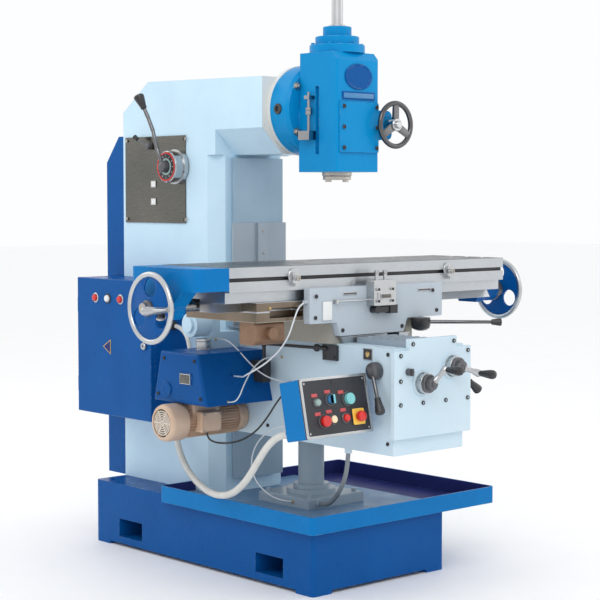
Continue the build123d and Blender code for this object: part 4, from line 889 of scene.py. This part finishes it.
def platedLabel(name, body, matrix, size, finish, rim="aluminium"):
    # a blank plate with a raised rim and a sunk middle
    plate = slab(name, (size[0], size[1], 0.0016), 0.0018, 0.0004)
    pick(plate, "face", lambda centre, normal: normal.z > 0.9)
    bpy.ops.mesh.inset(thickness=0.0016)
    bpy.ops.mesh.extrude_region_move(TRANSFORM_OT_translate={"value": (0, 0, -0.0006),
                                     "orient_type": "GLOBAL"})
    leaveEdit()
    placed(plate, matrix, body, rim)
    placed(slab(name + "Middle", (size[0] - 0.0046, size[1] - 0.0046, 0.0012), 0.001, 0.0002),
           matrix, body, finish)


def lampAt(name, body, matrix, radius, lens, height=0.007, rim="chrome"):
    lathe(name + "Bezel", [(0, radius * 1.35), (0.0015, radius * 1.38), (0.0035, radius * 1.2),
                           (0.0036, radius * 1.02), (0.002, radius), (0.002, 0.0005)], matrix,
          body, rim, sides=40)
    lathe(name + "Lens", [(0.001, radius * 0.96), (height * 0.6, radius * 0.94),
                          (height * 0.85, radius * 0.8), (height * 0.97, radius * 0.5),
                          (height, radius * 0.04)], matrix, body, lens, sides=40)


# head

swivelZ = 1.473
swivelRing = 0.1432
boltCircle = 0.124

badge = facing("front", (0, -0.4552, 1.568))
oval = turned("blankOval", [(0, 0.040), (0.003, 0.040), (0.0045, 0.0385), (0.0045, 0.035),
                            (0.0028, 0.0335), (0.0028, 0.0005)], 64)
oval.scale = (1.45, 1, 1)
placed(oval, badge, "head", "royal")
placed(slab("blankStrip", (0.138, 0.024, 0.003), 0.002, 0.0006), shifted(badge, 0, -0.0585),
       "head", "royal")
placed(slab("blankStripInlay", (0.128, 0.0155, 0.0038), 0.0015, 0.0005),
       shifted(badge, 0, -0.0585), "head", "blue")
coverLow, coverHigh = low("head_cover"), high("head_cover")
spots = [(x, coverLow.y + 0.0003, z) for x in (coverLow.x + 0.012, coverHigh.x - 0.012)
         for z in (coverLow.z + 0.014, (coverLow.z + coverHigh.z) / 2, coverHigh.z - 0.014)]
screwSet("headCoverScrews", "head", spots, toFront, 0.0066, 0.003)
several("swivelPlugs", [(0, 0.0165), (0.004, 0.0165), (0.0055, 0.0145), (0.0055, 0.0085),
                        (0.0005, 0.008), (0.0005, 0.0005)], 32,
        [standing((side * 0.1425, -0.242, swivelZ), (side, 0, 0)) for side in (-1, 1)], "head",
        "blackSteelAndShade")
flangeFace = high("head_housing").y - 0.0782
nutPlaces = [standing((boltCircle * math.cos(angle), flangeFace,
                       swivelZ + boltCircle * math.sin(angle)), toFront)
             for angle in map(math.radians, (35, 62, 90, 118, 145, 215, 242, 298, 325))]
several("swivelNuts", [(0, 0.013), (0.001, 0.0135), (0.002, 0.0105), (0.0085, 0.0105),
                       (0.0105, 0.009), (0.0105, 0.0055), (0.015, 0.0052), (0.0165, 0.0042),
                       (0.0165, 0.0005)], 6, nutPlaces, "head", "turned")
degrees = []
for turn in range(-45, 46, 3):
    angle = math.radians(90 + turn)
    mark = slab("degreeMark", (0.001, 0.010 if turn % 15 == 0 else 0.006, 0.0007))
    spot = (swivelRing * math.cos(angle), -0.2085, swivelZ + swivelRing * math.sin(angle))
    spin = Matrix.Rotation(math.pi / 2 - angle, 4, "Y")
    degrees.append(lay(mark, Matrix.Translation(spot) @ spin))
finishPiece(joined("degreeMarks", degrees), "head", finishes["white"])

quillWheel = {"radius": 0.0672, "thick": 0.0082, "spoke": 0.026}
quillCentre = standing((0.128, -0.4913, 1.423), toFront)
lathe("quillRim", ringSteps(quillWheel["radius"], quillWheel["thick"], 16), quillCentre,
      "quill_wheel", "wheelDark", ("quill_wheel",), sides=64, ring=True)
spokes = []
for turn in range(3):
    spoke = slab("spoke", (quillWheel["radius"], quillWheel["spoke"], 0.009), edge=0.0025)
    pick(spoke, "face", lambda centre, normal: normal.x > 0.9)
    middle = (quillWheel["radius"] / 2, 0, 0.0045)
    bpy.ops.transform.resize(value=(1, 0.72, 0.8), center_override=middle)
    leaveEdit()
    way = math.radians(90 + 120 * turn)
    spokes.append(lay(spoke, around(way, (quillWheel["radius"] / 2, 0, -0.0045))))
placed(joined("quillSpokes", spokes), quillCentre, "quill_wheel", "steelDark")
lathe("quillHub", [(-0.034, 0.017), (-0.006, 0.017), (-0.004, 0.0205), (0.008, 0.0205),
                   (0.0105, 0.0185), (0.0105, 0.012), (0.0165, 0.012), (0.019, 0.010),
                   (0.019, 0.0005)], quillCentre, "quill_wheel", "chrome")
print("head ready")


# speed panel, cabinet

panelLow, panelHigh = low("speed_panel"), high("speed_panel")
panelFront = -0.164
spots = [(panelFront - 0.0028, y, z) for y in (panelLow.y + 0.012, panelHigh.y - 0.012)
         for z in (panelLow.z + 0.012, panelHigh.z - 0.012)]
screwSet("panelScrews", "frame", spots, toLeft, 0.0056, 0.003, "turned")
for number, up in enumerate((0.072, 0.132)):
    platedLabel("panelLabel%d" % number, "frame", facing("left",
                (panelFront - 0.0018, dialY + 0.135, panelLow.z + up)), (0.028, 0.022), "white")
lathe("speedScale", [(0, 0.0578), (0.0002, 0.0583), (0.0152, 0.0583), (0.0158, 0.0578),
                     (0.0158, 0.054), (0.0160, 0.0005)],
      facing("left", (panelFront - 0.0005, dialY, dialZ)), "frame", "aluminium",
      sides=72)
face = facing("left", (dialFace + 0.0004, dialY, dialZ))
lathe("speedFace", [(0, 0.0495), (0.0008, 0.049), (0.0008, 0.0005)], face, "speed_dial", "plate",
      sides=72)
for tone, outer, inner in (("red", 0.0485, 0.0435), ("greyGreen", 0.0285, 0.0215)):
    lathe(tone + "SpeedBand", [(0.0008, outer), (0.0016, outer - 0.0005), (0.0016, inner),
                               (0.0008, inner - 0.0005), (0.0008, outer)], face, "speed_dial",
          tone, sides=72, ring=True)
digitCircle = 0.036
digits = []
for turn in range(12):
    bpy.ops.object.text_add(location=(0, 0, 0))
    text = bpy.context.object
    text.data.body = str(turn + 1)
    text.data.size = 0.0085
    text.data.extrude = 0.0003
    text.data.align_x = "CENTER"
    text.data.align_y = "CENTER"
    hold(text)
    bpy.ops.object.convert(target="MESH")
    text = bpy.context.object
    angle = math.radians(90 - 30 * turn)
    lay(text, shifted(face, digitCircle * math.cos(angle), digitCircle * math.sin(angle), 0.001,
                      angle - math.pi / 2))
    digits.append(text)
finishPiece(joined("speedDigits", digits), "speed_dial", finishes["white"])

doorFront = low("cabinet_door").x + 0.008
for number, (y, lens) in enumerate(((0.498, "red"), (0.426, "white"), (0.354, "red"))):
    lampAt("cabinetLamp%d" % number, "cabinet_door", facing("left", (doorFront, y, 0.854)), 0.0125,
           lens, 0.011, "blackSteelAndShade" if lens == "white" else "aluminium")
triangle = shifted(facing("left", (doorFront, 0.426, 0.690)), 0, 0, 0, math.radians(90))
lathe("blankTriangle", [(0, 0.030), (0.0012, 0.030), (0.0016, 0.0292), (0.0016, 0.0005)], triangle,
      "cabinet_door", "brass", sides=3, smooth=10)
lathe("blankTriangleField", [(0, 0.024), (0.0021, 0.024), (0.0021, 0.0005)], triangle,
      "cabinet_door", "navy", sides=3, smooth=10)
lathe("doorLock", [(-0.002, 0.0125), (0.009, 0.0125), (0.011, 0.011), (0.011, 0.004),
                   (0.007, 0.0035), (0.007, 0.0005)], facing("left",
      (doorFront, low("cabinet_door").y + 0.030, low("cabinet_door").z + 0.250)), "cabinet_door",
      "chrome", sides=32)
print("electrics ready")


# pendant

pendant = Matrix.Translation((-0.320, -0.700, 0.595)) @ Matrix.Rotation(math.radians(-12), 4, "X")
pendantFace = pendant @ Matrix.Rotation(math.radians(90), 4, "X")
border = slab("pendantBorder", (0.262, 0.174, 0.0022), 0.006, 0.0006)
opening = slab("opening", (0.246, 0.158, 0.02), 0.004)
opening.location.z = -0.005
hold(opening)
bpy.ops.object.transform_apply(location=True)
cutAway(border, [opening])
placed(border, shifted(pendantFace, 0, 0, -0.0002), "knee", "aluminium")
spots = [tuple(shifted(pendantFace, x, y, 0.0001).translation)
         for x in (-0.116, 0.116) for y in (-0.072, 0.072)]
out = (pendantFace.to_3x3() @ Vector((0, 0, 1)))
screwSet("pendantScrews", "knee", spots, tuple(out), 0.0036, 0.0018, "chrome")
controls = {"pilotLamp": (-0.075, 0.015, 0.0105, "greyGreen"),
            "redSelector": (0.029, -0.038, 0.012, "red")}
for name, (x, y, radius, lens) in controls.items():
    lampAt(name, "knee", shifted(pendantFace, x, y), radius, lens, 0.012, "dial")
rings = []
for x, y, radius in ((-0.022, -0.038, 0.0125), (-0.057, -0.041, 0.0175), (0.047, 0.016, 0.0185),
                     (-0.021, 0.020, 0.0165)):
    ring = turned("buttonRing", [(0, radius - 0.001), (0, radius + 0.0035),
                                 (0.0018, radius + 0.003), (0.003, radius + 0.001),
                                 (0.003, radius), (0.001, radius - 0.001), (0, radius - 0.001)],
                  40, ring=True)
    rings.append(lay(ring, shifted(pendantFace, x, y)))
finishPiece(joined("buttonRings", rings), "knee", finishes["dial"])
for name, spots, finish in (("redTags", ((-0.082, 0.036), (-0.030, 0.043), (0.022, 0.038),
                                         (-0.078, -0.018), (-0.034, -0.014), (0.022, -0.014)),
                             "redTag"), ("whiteTags", ((0.0, 0.070), (0.095, 0.070),
                                         (0.104, -0.060)), "plate")):
    tags = [lay(slab("tag", (0.022, 0.010, 0.0012), 0.001, 0.0003),
                shifted(pendantFace, x, y)) for x, y in spots]
    finishPiece(joined(name, tags), "knee", finishes[finish])
square = slab("stopSquare", (0.047, 0.047, 0.0012), 0.004, 0.0005)
cutAway(square, [turned("opening", [(-0.01, 0.011), (0.02, 0.011)], 32)])
placed(square, shifted(pendantFace, 0.078, -0.038, 0.0029), "knee", "yellow")
placed(slab("modeKnob", (0.008, 0.026, 0.0195), edge=0.002), shifted(pendantFace, -0.021, 0.020,
       0.0), "mode_switch", "cyan")
lathe("stopMushroom", [(0.0002, 0.0098), (0.008, 0.0098), (0.0085, 0.0138), (0.0105, 0.0152),
                       (0.019, 0.0156), (0.0225, 0.0142), (0.0245, 0.0105), (0.0255, 0.005),
                       (0.0257, 0.0005)], shifted(pendantFace, 0.078, -0.038), "emergency_stop",
      "red", ("emergency_stop",), sides=48)
print("pendant ready")


# feed motor with its fins, cowl and terminal box

motor = {"radius": 0.059, "y": -0.062, "fins": 36, "cowl": 0.066}
motorLow = low("feed_motor")
motorZ = motorLow.z + motor["radius"]
motorEnd = motorLow.x
motorAxis = standing((motorEnd + motor["cowl"], motor["y"], motorZ), toLeft)
lathe("motorBarrel", [(-0.250, 0.046), (-0.248, 0.0485), (-0.232, 0.0485), (-0.230, 0.0455),
                      (0.012, 0.0455)], motorAxis, "knee", "tan", ("feed_motor",),
      sides=72)
fins = []
for turn in range(motor["fins"]):
    fin = slab("fin", (0.0098, 0.0016, 0.218), edge=0.0)
    lay(fin, around(math.tau * turn / motor["fins"], (0.0498, 0, -0.223)))
    pick(fin, "edge", lambda a, b: abs(a.z - b.z) > 0.01)
    bpy.ops.mesh.bevel(offset=0.0005, segments=1, affect="EDGES")
    leaveEdit()
    fins.append(fin)
placed(joined("motorFins", fins), motorAxis, "knee", "tan")
lathe("motorCowl", [(-0.002, 0.0575), (-0.002, 0.0588), (0, 0.059), (0.052, 0.059),
                    (0.060, 0.0565), (0.0648, 0.0515), (0.066, 0.047), (0.066, 0.0445),
                    (0.0585, 0.0435), (0.0585, 0.0005)], motorAxis, "knee", "tan",
      sides=72)
# a thin black disc over the cowl's sunk end face: painted shade of the cowl's inside behind the
# grille
lathe("cowlShadeDisc", [(0.0587, 0.0434), (0.0592, 0.0434), (0.0592, 0.0005)], motorAxis, "knee", "gap",
      sides=48)
grille = []
for radius in (0.009, 0.0165, 0.0235, 0.0305, 0.0375):
    grille.append(turned("bar", [(0.0615, radius - 0.0018), (0.0615, radius + 0.0018),
                                 (0.0645, radius + 0.0018), (0.0645, radius - 0.0018),
                                 (0.0615, radius - 0.0018)], 48, ring=True))
for turn in range(6):
    bar = slab("bar", (0.0445, 0.0032, 0.0024))
    grille.append(lay(bar, around(math.tau * turn / 6, (0.0222, 0, 0.0618))))
placed(joined("cowlGrille", grille), motorAxis, "knee", "tanLight")
placed(slab("motorFoot", (0.11, 0.092, 0.060), 0.006, 0.002),
       Matrix.Translation((motorEnd + 0.145, motor["y"], 0.4915)), "knee", "tan")
terminalX = motorEnd + 0.140
terminal = slab("terminalBox", (0.080, 0.066, 0.034), 0.006, 0.002)
pick(terminal, "face", lambda centre, normal: normal.z > 0.9)
bpy.ops.mesh.inset(thickness=0.003)
bpy.ops.mesh.extrude_region_move(TRANSFORM_OT_translate={"value": (0, 0, 0.004),
                                 "orient_type": "GLOBAL"})
leaveEdit()
placed(terminal, facing("front", (terminalX, motor["y"] - 0.0405, motorZ)), "knee", "tan")
spots = [(terminalX + x, motor["y"] - 0.0783, motorZ + z)
         for x in (-0.031, 0.031) for z in (-0.024, 0.024)]
screwSet("terminalScrews", "knee", spots, toFront, 0.0034, 0.002, "turned")
lathe("motorEndBell", [(0, 0.052), (0.004, 0.054), (0.014, 0.054), (0.020, 0.046), (0.0225, 0.040),
                       (0.042, 0.040)], standing((-0.1925, motor["y"], motorZ), toRight), "knee",
      "tan", sides=64)
lathe("oilCup", [(-0.001, 0.0265), (0.003, 0.0265), (0.004, 0.0225), (0.026, 0.0225),
                 (0.028, 0.0245), (0.034, 0.0245), (0.036, 0.0225), (0.036, 0.0005)],
      standing((-0.300, -0.058, high("feed_case").z)), "knee", "chrome", sides=40)
platedLabel("caseLabel", "knee", facing("left", (low("feed_case").x + 0.0005, -0.122, 0.632)),
            (0.052, 0.032), "panel")
spots = [(low("feed_case").x + 0.004, y, z) for y, z in ((-0.165, 0.690), (-0.012, 0.690),
         (0.02, 0.575), (-0.195, 0.575))]
screwSet("caseScrews", "knee", spots, toLeft, 0.0058, 0.0035, "blackSteelAndShade")
print("feed drive ready")


# knee, saddle and table fittings

plateFace = -0.780
rows = [(0.588, (-0.139, -0.044, 0.054, 0.151)), (0.658, (-0.139,)),
        (kneeTop - 0.020, (-0.139, 0.151)), (kneeTop + 0.012, (-0.088, 0.088))]
spots = [(x, plateFace + 0.0002, z) for z, xs in rows for x in xs]
screwSet("kneePlateScrews", "knee", spots, toFront, 0.0064, 0.0045)
sight = facing("left", (-0.1502, -0.655, 0.730))
platedLabel("oilSight", "knee", sight, (0.040, 0.036), "plate")
lathe("oilSightGlass", [(0.001, 0.009), (0.003, 0.009), (0.0038, 0.0075), (0.0038, 0.0005)],
      shifted(sight, 0, 0), "knee", "brass", sides=32)
spots = [(-kneeSide, y, z) for y, z in ((-0.740, 0.470), (-0.740, 0.735), (-0.45, 0.470),
                                        (-0.2, 0.470))]
screwSet("kneeSideScrews", "knee", spots, toLeft, 0.0058, 0.0035, "blackSteelAndShade")
strip = [(0.009, low("way_guard").y + 0.0002, z) for z in (0.80, 0.87, 0.94, 1.01, 1.085)]
screwSet("wayGuardScrews", "knee", strip, toFront, 0.0045, 0.0022, "turned")

apronFace = -0.545
placed(slab("apronPlate", (0.037, 0.056, 0.0012), 0.0015, 0.0003),
       facing("front", (-0.2155, apronFace - 0.0030, 0.8567)), "saddle", "white")
spots = [(0.240, apronFace - 0.0035, 0.902), (-0.262, apronFace - 0.0035, 0.902),
         (0.262, apronFace + 0.0002, 0.838), (-0.262, apronFace + 0.0002, 0.838),
         (0.105, apronFace + 0.0002, 0.795), (-0.150, apronFace + 0.0002, 0.795)]
screwSet("apronScrews", "saddle", spots, toFront, 0.0062, 0.0035)
boxFace = low("trip_box").y
spots = [(x, boxFace + 0.0003, z) for x in (-0.034, 0.026) for z in (0.8797, 0.9157)]
screwSet("tripBoxScrews", "saddle", spots, toFront, 0.0042, 0.0025)
platedLabel("tripPlate", "saddle", facing("front", (-0.003, boxFace + 0.0016, 0.8947)),
            (0.046, 0.016), "panel")
several("tripRollers", [(0, 0.0072), (0.001, 0.0080), (0.010, 0.0080), (0.011, 0.0072),
                        (0.011, 0.0045), (0.0125, 0.0042), (0.0125, 0.0005)], 32,
        [standing((x, -0.563, 0.962)) for x in (-0.024, 0.012)], "saddle", "chrome")
dogPlaces = (-0.328, 0.339)
several("dogDiscs", [(-0.001, 0.0215), (0.0015, 0.0225), (0.0045, 0.0225), (0.006, 0.021),
                     (0.006, 0.012), (0.0075, 0.0112), (0.0075, 0.0005)], 48,
        [standing((x, low("table").y - 0.0002, 0.9645), toFront) for x in dogPlaces], "table",
        "aluminium")
spots = [(x, low("table_dogs").y + 0.0003, 0.9585) for x in dogPlaces]
screwSet("dogScrews", "table", spots, toFront, 0.0078, 0.004, "turned")
for x in (0.205, -0.12):
    platedLabel("apronLabel" + ("Right" if x > 0 else "Left"), "saddle",
                facing("front", (x, apronFace - 0.0002, 0.905)), (0.058, 0.010), "dial",
                "aluminium")
several("saddleOilers", [(0, 0.0045), (0.0015, 0.0045), (0.002, 0.003), (0.005, 0.0027),
                         (0.006, 0.0005)], 20, [standing((x, -0.5203, z), toFront) for x,
        z in ((-0.42, 0.872), (0.27, 0.86))], "saddle", "brass")

# drain plug and the rear cover's screws
lathe("drainPlug", [(0, 0.0165), (0.003, 0.0165), (0.004, 0.0125), (0.014, 0.0125), (0.016, 0.011),
                    (0.016, 0.0005)], standing((high("coolant_tray").x - 0.0005, -0.45, 0.2145),
      toRight), "frame", "brass", sides=6)
spots = [(x, high("rear_cover").y + 0.0001, z) for x in (-0.146, 0.146)
         for z in (0.278, 0.813, 1.268)]
screwSet("rearCoverScrews", "frame", spots, (0, 1, 0), 0.0078, 0.004)
print("fittings ready")
